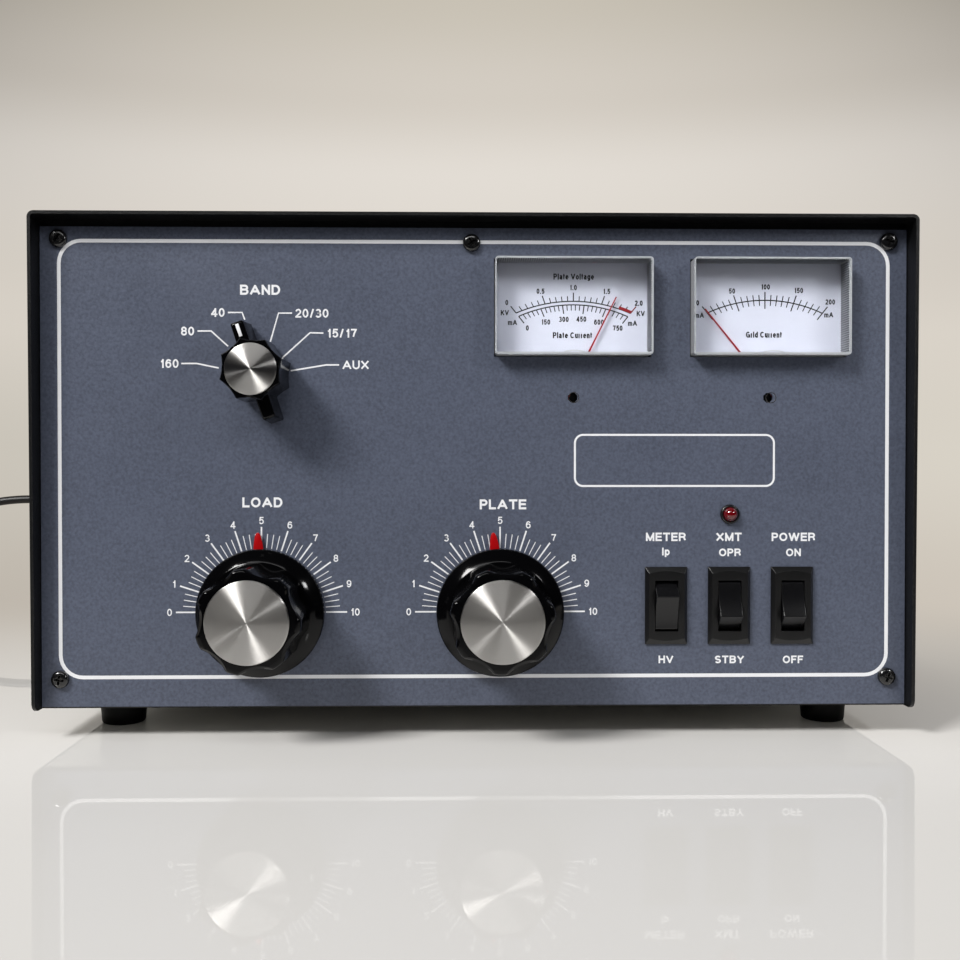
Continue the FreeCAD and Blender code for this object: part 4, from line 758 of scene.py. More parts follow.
def scoopWall(tree, given, angle, height):         # distance from the axis to a scoop, and where there is one
    period = reckon(tree, "DIVIDE", 2 * math.pi, given["Flutes"])
    lean = minus(tree, reckon(tree, "FLOORED_MODULO", angle, period), times(tree, period, 0.5))
    reach = remap(tree, height, given["Base Height"], given["Top Height"], given["Base Reach"],
                  given["Top Reach"])
    side = times(tree, reach, reckon(tree, "SINE", lean))
    under = minus(tree, times(tree, given["Scoop Radius"], given["Scoop Radius"]), times(tree, side, side))
    chord = reckon(tree, "SQRT", reckon(tree, "MAXIMUM", under, 0.0))
    wall = minus(tree, times(tree, reach, reckon(tree, "COSINE", lean)), chord)
    easing = minus(tree, height, minus(tree, given["Top Height"], given["Edge"]))
    easing = reckon(tree, "MINIMUM", reckon(tree, "MAXIMUM", easing, 0.0), given["Edge"])
    return minus(tree, wall, easing), reckon(tree, "GREATER_THAN", under, 0.0)


def makeFluteTree():               # scoops round a turned knob, each the side of a cylinder
    tree, given, sink = newTree("scooped flutes", "GeometryNodeTree", {
        "Geometry": "Geometry", "Flutes": 7.0, "Scoop Radius": 16.0, "Base Reach": 39.6, "Top Reach": 33.6,
        "Base Height": 4.6, "Top Height": 29.2, "Ridge": 0.8, "Edge": 1.1, "Paint": "Material"},
        {"Geometry": "Geometry"})
    parts = split(tree, step(tree, "GeometryNodeInputPosition").outputs[0])
    x, y, z = parts["X"], parts["Y"], parts["Z"]
    radius = reckon(tree, "SQRT", plus(tree, times(tree, x, x), times(tree, y, y)))
    angle = reckon(tree, "ARCTAN2", y, x)
    wall, inside = scoopWall(tree, given, angle, z)
    cut = reckon(tree, "SMOOTH_MIN", radius, wall, given["Ridge"])
    above = reckon(tree, "GREATER_THAN", z, plus(tree, given["Base Height"], 0.005))
    used = times(tree, times(tree, above, inside), reckon(tree, "GREATER_THAN", radius, 1.0))
    final = step(tree, "ShaderNodeMix", {"Factor": used, "A": radius, "B": cut}).outputs["Result"]
    moved = step(tree, "GeometryNodeSetPosition", {"Geometry": given["Geometry"],
                                                   "Position": polar(tree, angle, final, z)}).outputs[0]
    return paintedTree(tree, sink, moved, given["Paint"])


def makeScatterTree():             # one part at every point, turned towards the point's aim
    tree, given, sink = newTree("placed parts", "GeometryNodeTree", {
        "Geometry": "Geometry", "Part": "Object", "Size": mm,
        "Turn Spread": 3.14, "Seed": 7, "Paint": "Material"},
        {"Geometry": "Geometry"})
    part = step(tree, "GeometryNodeObjectInfo", {"Object": given["Part"]}).outputs["Geometry"]
    points = step(tree, "GeometryNodeMeshToPoints", {"Mesh": given["Geometry"]}).outputs[0]
    aim = step(tree, "GeometryNodeInputNamedAttribute", {"Name": "aim"}, data_type="FLOAT_VECTOR").outputs[0]
    turn = step(tree, "FunctionNodeAlignRotationToVector", {"Vector": aim}, axis="Z").outputs[0]
    chance = step(tree, "FunctionNodeRandomValue", {"Seed": given["Seed"]}, data_type="FLOAT")
    free = next(socket for socket in chance.outputs if socket.enabled)
    spin = times(tree, free, given["Turn Spread"])
    spin = step(tree, "FunctionNodeEulerToRotation", {0: combine(tree, z=spin)}).outputs[0]
    turned = step(tree, "FunctionNodeRotateRotation", {0: turn, 1: spin}, rotation_space="LOCAL").outputs[0]
    placed = step(tree, "GeometryNodeInstanceOnPoints", {
        "Points": points, "Instance": part, "Rotation": turned, "Scale": given["Size"]}).outputs[0]
    return paintedTree(tree, sink, placed, given["Paint"])


def makeRoundTree():               # copies of one part turned round the Z axis
    tree, given, sink = newTree("turned copies", "GeometryNodeTree", {
        "Part": "Object", "Count": 5, "First Turn": 0.0,
        "Paint": "Material"}, {"Geometry": "Geometry"})
    part = step(tree, "GeometryNodeObjectInfo", {"Object": given["Part"]}).outputs["Geometry"]
    line = step(tree, "GeometryNodeMeshLine", {"Count": given["Count"], "Offset": (0, 0, 0)}).outputs[0]
    index = step(tree, "GeometryNodeInputIndex").outputs[0]
    share = reckon(tree, "DIVIDE", index, given["Count"])
    turn = plus(tree, times(tree, share, 2 * math.pi), given["First Turn"])
    turn = step(tree, "FunctionNodeEulerToRotation", {0: combine(tree, z=turn)}).outputs[0]
    placed = step(tree, "GeometryNodeInstanceOnPoints", {
        "Points": line, "Instance": part, "Rotation": turn}).outputs[0]
    return paintedTree(tree, sink, placed, given["Paint"])


tickTree, lineTree, fluteTree = makeTickTree(), makeLineTree(), makeFluteTree()
scatterTree, roundTree = makeScatterTree(), makeRoundTree()
print("geometry trees built")


# ---- mains cord: from the strain relief to the coil, five turns, then on to the plug ----
cordLook = {
    "start": [(-150, 203.2, 52), (-150, 236, 52), (-163, 277, 56.5), (-195, 305, 60.5), (-240, 318, 65),
              (-290, 322, 70.5), (-342, 321.5, 77.5), (-390, 320, 82), (-434, 316.5, 73.5),
              (-470, 310, 48), (-496, 293, 20), (-509, 263, 4.6), (-509, 230, 3.7), (-508, 200, 3.7)],
    "end": [(-508, 190, 10.7), (-508, 168, 10.8), (-507, 147, 11), (-505, 128, 11)],
    "coilCentre": (-462, 196), "firstAngle": 175, "turns": 5, "perTurn": 16, "outside": 46.0, "inside": 32.0,
    "low": 3.7, "high": 10.7, "thick": 7.0}


def coilPoints():                  # two turns inwards, one rising inside them, two outwards on top
    points = []
    for i in range(1, cordLook["turns"] * cordLook["perTurn"] + 1):
        turn = i / cordLook["perTurn"]
        if turn <= 2:
            radius, height = cordLook["outside"] - cordLook["thick"] * turn, cordLook["low"]
        elif turn <= 3:
            part = turn - 2
            radius = cordLook["inside"] - 2.6 * math.sin(math.pi * part)
            height = cordLook["low"] + (cordLook["high"] - cordLook["low"]) * part * part * (3 - 2 * part)
        else:
            radius, height = cordLook["inside"] + cordLook["thick"] * (turn - 3), cordLook["high"]
        angle = math.radians(cordLook["firstAngle"] + 360 * turn)
        points.append((cordLook["coilCentre"][0] + 1.01 * radius * math.cos(angle),
                       cordLook["coilCentre"][1] + 1.01 * radius * math.sin(angle), height))
    return points


def makeCord():
    curve = bpy.data.curves.new("mainsCord", "CURVE")
    curve.dimensions = "3D"
    curve.bevel_depth = 3.5 * mm
    curve.bevel_resolution = 6
    curve.resolution_u = 8
    curve.use_fill_caps = True
    route = cordLook["start"] + coilPoints() + cordLook["end"]
    spline = curve.splines.new("NURBS")
    spline.points.add(len(route) - 1)
    for point, place in zip(spline.points, route):
        point.co = (*(value * mm for value in place), 1.0)
    spline.order_u = 3
    spline.use_endpoint_u = True
    curve.materials.append(finish["cord vinyl"])
    cord = link(bpy.data.objects.new("mainsCord", curve))
    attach(cord, "cabinet")
    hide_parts("cord_tube", "cord_coil")
    return cord


plugSections = [(0, 5.0, 5.0, 0.98), (-3, 5.2, 5.2, 0.95), (-10, 6.5, 6.5, 0.9), (-15, 8.8, 8.0, 0.75),
                (-20, 11.9, 9.6, 0.6), (-24, 12.6, 10.0, 0.5), (-36.6, 13.2, 10.4, 0.42),
                (-38, 12.4, 9.6, 0.42)]                             # y, half width, half height, roundness


def plugPlace():
    end = Vector(cordLook["end"][-1])
    heading = Vector(cordLook["end"][-1]) - Vector(cordLook["end"][-2])
    turn = math.atan2(heading.x, -heading.y)
    return Matrix.Scale(mm, 4) @ Matrix.Translation(end) @ Matrix.Rotation(turn, 4, "Z")


def makePlug():                    # moulded plug: rounded sections from the neck to the flat face
    rings = []
    for y, halfWidth, halfHeight, roundness in plugSections:
        power = 2 + 5 * (1 - roundness)          # a circle at 1, a rounded box towards 0
        ring = []
        for i in range(48):
            angle = 2 * math.pi * i / 48
            c, s = math.cos(angle), math.sin(angle)
            ring.append((halfWidth * math.copysign(abs(c) ** (2 / power), c), y,
                         halfHeight * math.copysign(abs(s) ** (2 / power), s)))
        rings.append(ring)
    body = makePiece("plugMoulding", loft("plugMoulding", rings), "cord vinyl", plugPlace(), ("plug_body",),
                     sharp=50)
    blade = slabBox("blade", (1.5, 17.4, 6.4), (0, -46.6, 2.5), round=0.35)
    pin = lathe("pin", [(0, 0), (2.35, 0), (2.35, 18.4), (1.6, 20.2), (0, 20.5)], 32)
    down = Matrix.Translation((0, -38, -5.6)) @ Matrix.Rotation(math.pi / 2, 4, "X")
    blades = merged([(blade, Matrix.Translation((-6.35, 0, 0))), (blade, Matrix.Translation((6.35, 0, 0))),
                     (pin, down)])
    blades = makePiece("plugBlades", blades, "brass", plugPlace(), ("plug_blades",))
    return body, blades


def makeStrainRelief():            # grommet collar and a tapered, ribbed tail
    profile = [(0, -4), (6.4, -4), (6.4, 0), (8.1, 0), (8.4, 0.4), (8.4, 3.0), (8.0, 3.4), (6.6, 4.0)]
    for i in range(4):
        start, radius = 6.2 + i * 3.9, 6.1 - 0.42 * i
        profile += [(radius, start - 0.7), (radius + 0.05, start), (radius, start + 0.5),
                    (radius - 1.1, start + 0.7),
                    (radius - 1.2, start + 2.2), (radius - 0.6, start + 2.5)]
    profile += [(4.4, 21.8), (4.1, 22.4), (0, 22.4)]
    makePiece("strainReliefTail", lathe("strainReliefTail", profile, 48), "cord vinyl", onRear(-150, 52),
              ("strain_relief",), sharp=50)


mainsCord = makeCord()
plugPieces = makePlug()
makeStrainRelief()
print("cord laid")


# ---- sheet metal ----
softened("cover", "coverShell", 0.3 * mm, "cover paint")
print("cabinet sheets eased")


# ---- printed panel artwork, all in mm on the panel ----
def bow(cx, cy, rx, ry, first, last, count=14):                    # part of an ellipse, in degrees
    angles = [math.radians(first + (last - first) * i / count) for i in range(count + 1)]
    return [(cx + rx * math.cos(a), cy + ry * math.sin(a)) for a in angles]


def ring(cx, cy, rx, ry):
    return bow(cx, cy, rx, ry, 0, 360, 24)


stem, top, bottom = [(0, 0), (0, 1)], [(0, 1), (1, 1)], [(0, 0), (1, 0)]
glyphs = {                         # ink width against height, then centre lines in a unit box
    "A": (0.98, [[(0, 0), (0.5, 1)], [(0.5, 1), (1, 0)], [(0.17, 0.3), (0.83, 0.3)]]),
    "B": (0.8, [stem, [(0, 1), (0.6, 1)] + bow(0.6, 0.76, 0.35, 0.24, 90, -90) + [(0, 0.52)],
                [(0, 0.52), (0.63, 0.52)] + bow(0.63, 0.26, 0.37, 0.26, 90, -90) + [(0, 0)]]),
    "C": (0.86, [bow(0.5, 0.5, 0.5, 0.5, 42, 318, 20)]),
    "D": (0.82, [stem, [(0, 1), (0.45, 1)] + bow(0.45, 0.5, 0.55, 0.5, 90, -90, 16) + [(0, 0)]]),
    "E": (0.72, [stem, top, bottom, [(0, 0.52), (0.92, 0.52)]]),
    "F": (0.68, [stem, top, [(0, 0.5), (0.84, 0.5)]]),
    "G": (0.88, [bow(0.5, 0.5, 0.5, 0.5, 42, 340, 20), [(1, 0.02), (1, 0.45)], [(0.56, 0.45), (1, 0.45)]]),
    "H": (0.8, [stem, [(1, 0), (1, 1)], [(0, 0.52), (1, 0.52)]]),
    "I": (0.0, [stem]),
    "K": (0.84, [stem, [(0, 0.34), (0.97, 1)], [(0.34, 0.57), (1, 0)]]),
    "L": (0.68, [stem, bottom]),
    "M": (0.95, [stem, [(1, 0), (1, 1)], [(0, 1), (0.5, 0)], [(0.5, 0), (1, 1)]]),
    "N": (0.8, [stem, [(1, 0), (1, 1)], [(0, 1), (1, 0)]]),
    "O": (0.92, [ring(0.5, 0.5, 0.5, 0.5)]),
    "P": (0.74, [stem, [(0, 1), (0.58, 1)] + bow(0.58, 0.725, 0.42, 0.275, 90, -90) + [(0, 0.45)]]),
    "R": (0.8, [stem, [(0, 1), (0.58, 1)] + bow(0.58, 0.745, 0.38, 0.255, 90, -90) + [(0, 0.49)],
                [(0.55, 0.49), (0.8, 0.42), (0.9, 0.25), (1, 0)]]),
    "S": (0.78, [bow(0.5, 0.745, 0.45, 0.255, 22, 270) + bow(0.5, 0.245, 0.5, 0.245, 90, -158)]),
    "T": (0.8, [top, [(0.5, 0), (0.5, 1)]]),
    "U": (0.8, [[(0, 1), (0, 0.36)] + bow(0.5, 0.36, 0.5, 0.36, 180, 360) + [(1, 1)]]),
    "V": (0.9, [[(0, 1), (0.5, 0)], [(0.5, 0), (1, 1)]]),
    "W": (1.25, [[(0, 1), (0.25, 0)], [(0.25, 0), (0.5, 1)], [(0.5, 1), (0.75, 0)], [(0.75, 0), (1, 1)]]),
    "X": (0.88, [[(0, 0), (1, 1)], [(0, 1), (1, 0)]]),
    "Y": (0.88, [[(0, 1), (0.5, 0.45)], [(1, 1), (0.5, 0.45)], [(0.5, 0), (0.5, 0.45)]]),
    "a": (0.62, [bow(0.48, 0.47, 0.44, 0.23, 160, 0) + [(0.92, 0.0)],
                 [(0.92, 0.42), (0.4, 0.38)] + bow(0.38, 0.19, 0.38, 0.19, 90, 290)
                 + [(0.92, 0.2)]]),
    "d": (0.62, [ring(0.5, 0.35, 0.5, 0.35), [(1, 0), (1, 1)]]),
    "e": (0.64, [[(0, 0.37), (1, 0.37)], bow(0.5, 0.35, 0.5, 0.35, 4, 322, 18)]),
    "g": (0.62, [ring(0.5, 0.35, 0.5, 0.35), [(1, 0.7), (1, -0.06)] + bow(0.5, -0.06, 0.5, 0.22, 0, -150)]),
    "i": (0.0, [[(0, 0), (0, 0.68)], [(0, 0.95), (0, 1)]]),
    "l": (0.0, [stem]),
    "m": (1.0, [[(0, 0), (0, 0.68)], bow(0.25, 0.45, 0.25, 0.25, 180, 0, 10) + [(0.5, 0)],
                bow(0.75, 0.45, 0.25, 0.25, 180, 0, 10) + [(1, 0)]]),
    "n": (0.58, [[(0, 0), (0, 0.68)], bow(0.5, 0.42, 0.5, 0.28, 180, 0) + [(1, 0)]]),
    "o": (0.64, [ring(0.5, 0.35, 0.5, 0.35)]),
    "p": (0.62, [[(0, -0.28), (0, 0.68)], ring(0.5, 0.35, 0.5, 0.35)]),
    "r": (0.36, [[(0, 0), (0, 0.68)], bow(0.9, 0.36, 0.9, 0.33, 180, 90)]),
    "t": (0.36, [[(0.35, 0.93), (0.35, 0.14), (0.55, 0.01), (1, 0.0)], [(0, 0.68), (1, 0.68)]]),
    "u": (0.58, [[(0, 0.7), (0, 0.28)] + bow(0.5, 0.28, 0.5, 0.28, 180, 360), [(1, 0), (1, 0.7)]]),
    "0": (0.66, [ring(0.5, 0.5, 0.5, 0.5)]),
    "1": (0.5, [[(0.85, 0), (0.85, 1)], [(0.2, 0.74), (0.6, 0.8), (0.85, 0.98)]]),
    "2": (0.66, [bow(0.5, 0.7, 0.48, 0.3, 170, -28) + [(0, 0.02)], bottom]),
    "3": (0.66, [bow(0.47, 0.755, 0.43, 0.245, 155, -90) + bow(0.48, 0.265, 0.52, 0.265, 90, -155)]),
    "4": (0.7, [[(0.73, 0), (0.73, 1)], [(0.73, 1), (0, 0.27)], [(0, 0.25), (1, 0.25)]]),
    "5": (0.66, [[(0.18, 1), (0.92, 1)], [(0.18, 1), (0.07, 0.47)],
                 bow(0.48, 0.33, 0.52, 0.33, 145, -155, 18)]),
    "6": (0.66, [ring(0.5, 0.32, 0.5, 0.32), [(0, 0.34)] + bow(0.54, 0.5, 0.54, 0.5, 180, 38)]),
    "7": (0.66, [top, [(1, 1), (0.6, 0.5), (0.38, 0)]]),
    "8": (0.66, [ring(0.5, 0.755, 0.43, 0.245), ring(0.5, 0.26, 0.5, 0.26)]),
    "9": (0.66, [ring(0.5, 0.68, 0.5, 0.32), [(1, 0.66)] + bow(0.46, 0.5, 0.54, 0.5, 0, -142)]),
    "/": (0.5, [[(0.1, -0.02), (0.9, 1.02)]]),
    ".": (0.0, [[(0, 0), (0, 0.01)]]),
}
letterGap, wordGap = 0.13, 0.36     # against height


def extended(path, more):          # ends run on until their corners reach the letter's height
    longer = list(path)
    if math.dist(path[0], path[-1]) < 1e-6:        # a closed ring has no ends
        return longer
    for end, inner in ((0, 1), (-1, -2)):
        (ax, ay), (bx, by) = path[end], path[inner]
        length = math.hypot(ax - bx, ay - by)
        lean, rise = abs(ax - bx) / length, abs(ay - by) / length
        if len(path) > 2 and lean > 0.05:
            continue
        reach = more if rise < 0.01 else more * (1 - lean) / rise
        longer[end] = (ax + (ax - bx) / length * reach, ay + (ay - by) / length * reach)
    return longer


def lettering(text, height, weight, squeeze=1.0):  # centre lines of one word about its middle, and its width
    stroke = weight * height
    paths, x = [], 0.0
    for letter in text:
        if letter == " ":
            x += wordGap * height * squeeze
            continue
        width, shapes = glyphs[letter]
        span = max(width * height * squeeze - stroke, 0.0)
        for shape in shapes:
            path = [(x + stroke / 2 + px * span, stroke / 2 + py * (height - stroke) - height / 2) for px,
                    py in shape]
            paths.append(extended(path, stroke / 2))
        x += span + stroke + letterGap * height * squeeze
    total = x - letterGap * height * squeeze
    return [[(px - total / 2, py) for px, py in path] for path in paths], total


layer = 0.003                      # crossing strokes lie at their own heights, so that no faces fight


def printedPaths(paths, width, paint, closed=False, thick=0.06):
    points, edges = [], []
    for order, path in enumerate(paths):
        start = len(points)
        points += [(x, y, layer * (order % 6)) for x, y in path]
        edges += [(start + i, start + i + 1) for i in range(len(path) - 1)]
        if closed:
            edges.append((start + len(path) - 1, start))
    base = bpy.data.meshes.new("path")
    base.from_pydata(points, edges, [])
    return grown("line", lineTree, {"Line Width": width, "Thickness": thick, "Paint": paint}, base)


def printedLine(points, width, paint, closed=False, thick=0.06):
    return printedPaths([points], width, paint, closed, thick)


def printedWords(words, weight, paint, squeeze=1.0, thick=0.06):  # (text, x, y, height) by their middles
    byStroke = {}
    for text, x, y, height in words:
        paths, total = lettering(text, height, weight, squeeze)
        moved = [[(px + x, py + y) for px, py in path] for path in paths]
        byStroke.setdefault(round(weight * height, 4), []).extend(moved)
    return merged([(printedPaths(paths, stroke, paint, thick=thick), Matrix()) for stroke,
                   paths in byStroke.items()])


def roundedOutline(width, height, corner, steps=8):
    points = []
    for index, (cx, cy) in enumerate(((1, 1), (-1, 1), (-1, -1), (1, -1))):
        for i in range(steps + 1):
            angle = math.radians(90 * index + 90 * i / steps)
            points.append((cx * (width / 2 - corner) + corner * math.cos(angle),
                           cy * (height / 2 - corner) + corner * math.sin(angle)))
    return points


artwork = {
    "border": {"centre": (0, 111.4), "size": (331.0, 173.6), "corner": 8.9, "line": 1.45},
    "plate": {"centre": (79.6, 111.1), "size": (80.2, 20.5), "corner": 3.3, "line": 0.8},
    "dial": {"count": 41, "radius": 25.6, "long": 34.06, "short": 31.3, "longWidth": 0.62, "shortWidth": 0.34,
             "numbers": 36.6, "height": 2.9},
    "words": [("LOAD", -85.36, 94.35, 4.0), ("PLATE", 10.67, 93.51, 4.0), ("BAND", -86.04, 178.96, 4.0),
              ("METER", 76.18, 80.4, 3.4), ("Ip", 76.19, 74.5,
                                            3.1), ("XMT", 101.62, 80.36, 3.4), ("OPR", 102.04, 74.12, 3.1),
              ("POWER", 127.72, 80.33, 3.4), ("ON", 127.74, 74.08, 3.1), ("HV", 76.29, 31.05, 3.1),
              ("STBY", 101.96, 30.96, 3.1), ("OFF", 127.7, 30.87, 3.1)],
    "bands": [("160", -117.1, 149.6, [(-117.34, 149.63), (-111.21, 149.64), (-102.54, 147.86)], -1),
              ("80", -110.9, 162.5, [(-110.88, 162.54), (-105.5, 162.56), (-98.79, 156.49)], -1),
              ("40", -98.8, 169.9, [(-98.83, 169.92), (-93.2, 169.93), (-92.14, 167.03)], -1),
              ("20/30", -73.4, 169.7, [(-73.37, 169.74), (-78.77, 169.73), (-82.05, 158.32)], 1),
              ("15/17", -61.0, 161.8, [(-60.96, 161.82), (-66.24, 161.97), (-76.95, 152.24)], 1),
              ("AUX", -54.7, 149.2, [(-54.74, 149.18), (-59.79, 149.17), (-73.98, 146.80)], 1)],
}


def makeArtwork():
    ink = finish["panel ink"]
    parts = []
    for key in ("border", "plate"):
        line = artwork[key]
        ring = printedLine(roundedOutline(*line["size"], line["corner"]), line["line"], ink, closed=True)
        parts.append((ring, onPanel(*line["centre"])))
    dial, figures = artwork["dial"], []
    for x, z in ((-85.75, 50.5), (9.5, 50.5)):
        ticks = grown("ticks", tickTree, {
            "Count": dial["count"], "Radius": dial["radius"], "Long": dial["long"] - dial["radius"],
            "Short": dial["short"] - dial["radius"], "Long Width": dial["longWidth"],
            "Short Width": dial["shortWidth"], "Paint": ink})
        parts.append((ticks, onPanel(x, z)))
        for number in range(11):
            angle = math.radians(180 - 18 * number)
            reach = dial["numbers"] + (0.6 if number == 10 else 0)
            figures.append((str(number), x + reach * math.cos(angle), z + reach * math.sin(angle),
                            dial["height"]))
    labels = []
    for text, x, z, points, side in artwork["bands"]:
        parts.append((printedLine(points, 0.6, ink), onPanel(0, 0)))
        width = lettering(text, 3.5, 0.185, 1.03)[1]
        labels.append((text, x + side * (1.3 + width / 2), z, 3.5))
    for words, weight, squeeze in ((artwork["words"], 0.212, 1.05), (figures, 0.16, 1.0),
                                   (labels, 0.185, 1.03)):
        parts.append((printedWords(words, weight, ink, squeeze), onPanel(0, 0)))
    makePiece("panelArtwork", merged(parts), "panel ink", sharp=30)


makeArtwork()
print("panel artwork printed")


# ---- knobs ----
dials = {"load": {"centre": (-85.75, 50.5), "reading": 4.87, "phase": -3.3},
         "plate": {"centre": (9.5, 50.5), "reading": 4.72, "phase": 10.4}}
knobSides = 252                    # a multiple of the seven scoops
spunLook = {"color": tone(205, 203, 200), "pitch": 0.00016, "spread": 0.3, "roughness": 0.36, "bump": 0.2,
            "anisotropy": 1.0}


def bigKnobProfile():              # skirt, shallow cone, straight body and the recess for the inlay
    profile = [(3.2, 2.0), (25.0, 2.0), (25.4, 2.3), (25.4, 4.1), (25.2, 4.5), (24.9, 4.8), (22.8, 6.6),
               (20.9, 8.2), (20.5, 8.4)]
    for i in range(12):
        share = i / 11
        profile.append((20.45 - 0.45 * share, 8.42 + 19.68 * share))
    profile += [(19.75, 28.6), (19.4, 28.95), (18.9, 29.2), (17.9, 29.2), (16.4, 29.2), (15.95, 29.2),
                (15.87, 28.9), (15.87, 28.62),
                (14.0, 28.6), (0, 28.6), (0, 18), (3.2, 18)]
    return profile


def makeBigKnobs():
    for name, dial in dials.items():
        x, z = dial["centre"]
        blank = lathe(name + "Blank", bigKnobProfile(), knobSides, loops=True)
        fluted = grown(name + "Knob", fluteTree, {
            "Flutes": 7.0, "Base Reach": 35.3, "Base Height": 8.4, "Paint": finish["knob plastic"]}, blank)
        makePiece(name + "Knob", fluted, "knob plastic", onPanel(x, z, dial["phase"]), (name + "_knob",),
                  body=name + "_dial", sharp=40)
        spun = name + " inlay metal"
        finish[spun] = makeSpunFinish(spun, (x * mm, panelY, z * mm), spunLook)
        face = lathe(name + "Inlay", [(0, 28.62), (15.8, 28.62), (15.8, 29.6), (15.55, 29.92), (15.2, 30.0),
                                      (0, 30.0)], 128)
        makePiece(name + "Inlay", face, spun, onPanel(x, z), (name + "_inlay",), body=name + "_dial",
                  sharp=25)


def makePointers():                # red tab with a rounded tip, fixed to the disc behind each skirt
    for name, dial in dials.items():
        x, z = dial["centre"]
        edge = [(18, 2.0), (24.5, 1.95), (26.5, 1.85), (28.5, 1.55), (30.2, 1.2), (31.2, 0.85), (31.75, 0.4),
                (31.9, 0)]
        shape = edge + [(px, -py) for px, py in edge[-2::-1]]
        rings = [[(px, py, 0.65) for px, py in shape], [(px, py, 1.3) for px, py in shape],
                 [(px - 0.15, py * 0.85, 1.4) for px, py in shape]]
        disc = lathe("disc", [(6.1, 0.6), (21, 0.6), (21, 1.35), (6.1, 1.35)], 96, loops=True)
        whole = everywhere([Matrix()], loft("tab", rings), disc)
        makePiece(name + "Pointer", whole, "pointer red", onPanel(x, z, 180 - 18 * dial["reading"]),
                  (name + "_pointer",), body=name + "_tuner")


bandLook = {"centre": (-85.7, 145.5), "angle": 108.8}


def makeBandKnob():                # eight scallops round a drum, with a pointer bar through it
    x, z = bandLook["centre"]
    profile = [(3.2, 1.0), (12.6, 1.0), (12.9, 1.3)]
    profile += [(12.9 - 0.05 * i, 1.3 + 1.9 * i) for i in range(1, 11)]
    profile += [(12.35, 21.2), (12.0, 21.6), (10.6, 21.6), (9.95, 21.6), (9.92, 21.0), (8, 21.0), (0, 21.0),
                (0, 14), (3.2, 14)]
    blank = lathe("bandBlank", profile, 192, loops=True)
    drum = grown("drum", fluteTree, {"Flutes": 8.0, "Scoop Radius": 18.0, "Base Reach": 29.1,
                                     "Top Reach": 28.9,
                                     "Base Height": 0.9, "Top Height": 21.6, "Ridge": 0.35, "Edge": 0.5,
                                     "Paint": finish["knob plastic"]}, blank)
    bar = barMesh()
    whole = everywhere([Matrix()], drum, bar)
    makePiece("bandKnob", whole, "knob plastic", onPanel(x, z, bandLook["angle"]), ("band_knob",),
              body="band_control", sharp=38)
    spun = "band inlay metal"
    finish[spun] = makeSpunFinish(spun, (x * mm, panelY, z * mm), spunLook)
    face = lathe("bandInlay", [(0, 21.02), (9.87, 21.02), (9.87, 21.7), (9.65, 21.93), (9.4, 22.0),
                               (0, 22.0)], 96)
    makePiece("bandInlay", face, spun, onPanel(x, z, bandLook["angle"]), ("band_inlay",),
              body="band_control", sharp=25)
    mark = slabBox("mark", (5.0, 1.3, 0.12), (16.0, 0, 17.2), round=0.05)
    makePiece("bandPointerLine", mark, "panel ink", onPanel(x, z, bandLook["angle"]), body="band_control")


def barMesh():
    def level(height, grow):
        long, tip, root = 19.5 + grow, 2.5 + grow * 0.6, 2.9 + grow * 0.6
        corner = 0.5
        points = [(-long + corner, -tip), (0, -root), (long - corner, -tip), (long, -tip + corner),
                  (long, tip - corner),
                  (long - corner, tip), (0, root), (-long + corner,
                                                    tip), (-long, tip - corner), (-long, -tip + corner)]
        return [(px, py, height) for px, py in points]
    return loft("bar", [level(1.0, 0.7), level(8, 0.3), level(16.2, 0.0), level(16.7, -0.25),
                        level(17.15, -0.75), level(17.2, -0.95)])


makeBigKnobs()
makePointers()
makeBandKnob()
print("knobs and pointers turned")


# ---- rocker switches ----
switchLook = {"places": (76.2, 101.6, 127.0), "z": 52.8, "bezel": (17.0, 31.1), "opening": (9.3, 20.4),
              "rim": 0.7, "slope": 2.4, "insetX": 2.0, "insetY": 3.5, "dishLow": 1.75, "dishSpan": 68.0,
              "body": (13.2, 26.9, 20.0), "cavity": 12.6}
rockers = {"meter": (76.2, 15.0), "transmit": (101.6, -15.0), "power": (127.0, -15.0)}       # x and tilt


def dish(x):
    return switchLook["dishLow"] + x * x / switchLook["dishSpan"]


def frameRing(halfWidth, halfHeight, height, steps=12):          # a rectangle sampled along its sides
    ring = []
    corners = [(-1, -1), (1, -1), (1, 1), (-1, 1)]
    for (ax, ay), (bx, by) in zip(corners, corners[1:] + corners[:1]):
        for i in range(steps):
            share = i / steps
            x, y = (ax + (bx - ax) * share) * halfWidth, (ay + (by - ay) * share) * halfHeight
            ring.append((x, y, height(x) if callable(height) else height))
    return ring


def bezelFaceRing():                                             # where the sloped sides meet the dished face
    look = switchLook
    edge = look["bezel"][0] / 2 - look["insetX"] * (dish(7.0) - look["rim"]) / look["slope"]
    ring = []
    for x, y, z in frameRing(edge, 1.0, dish):
        reach = look["bezel"][1] / 2 - look["insetY"] * (dish(x) - look["rim"]) / look["slope"]
        ring.append((x, y * reach, z))
    return ring


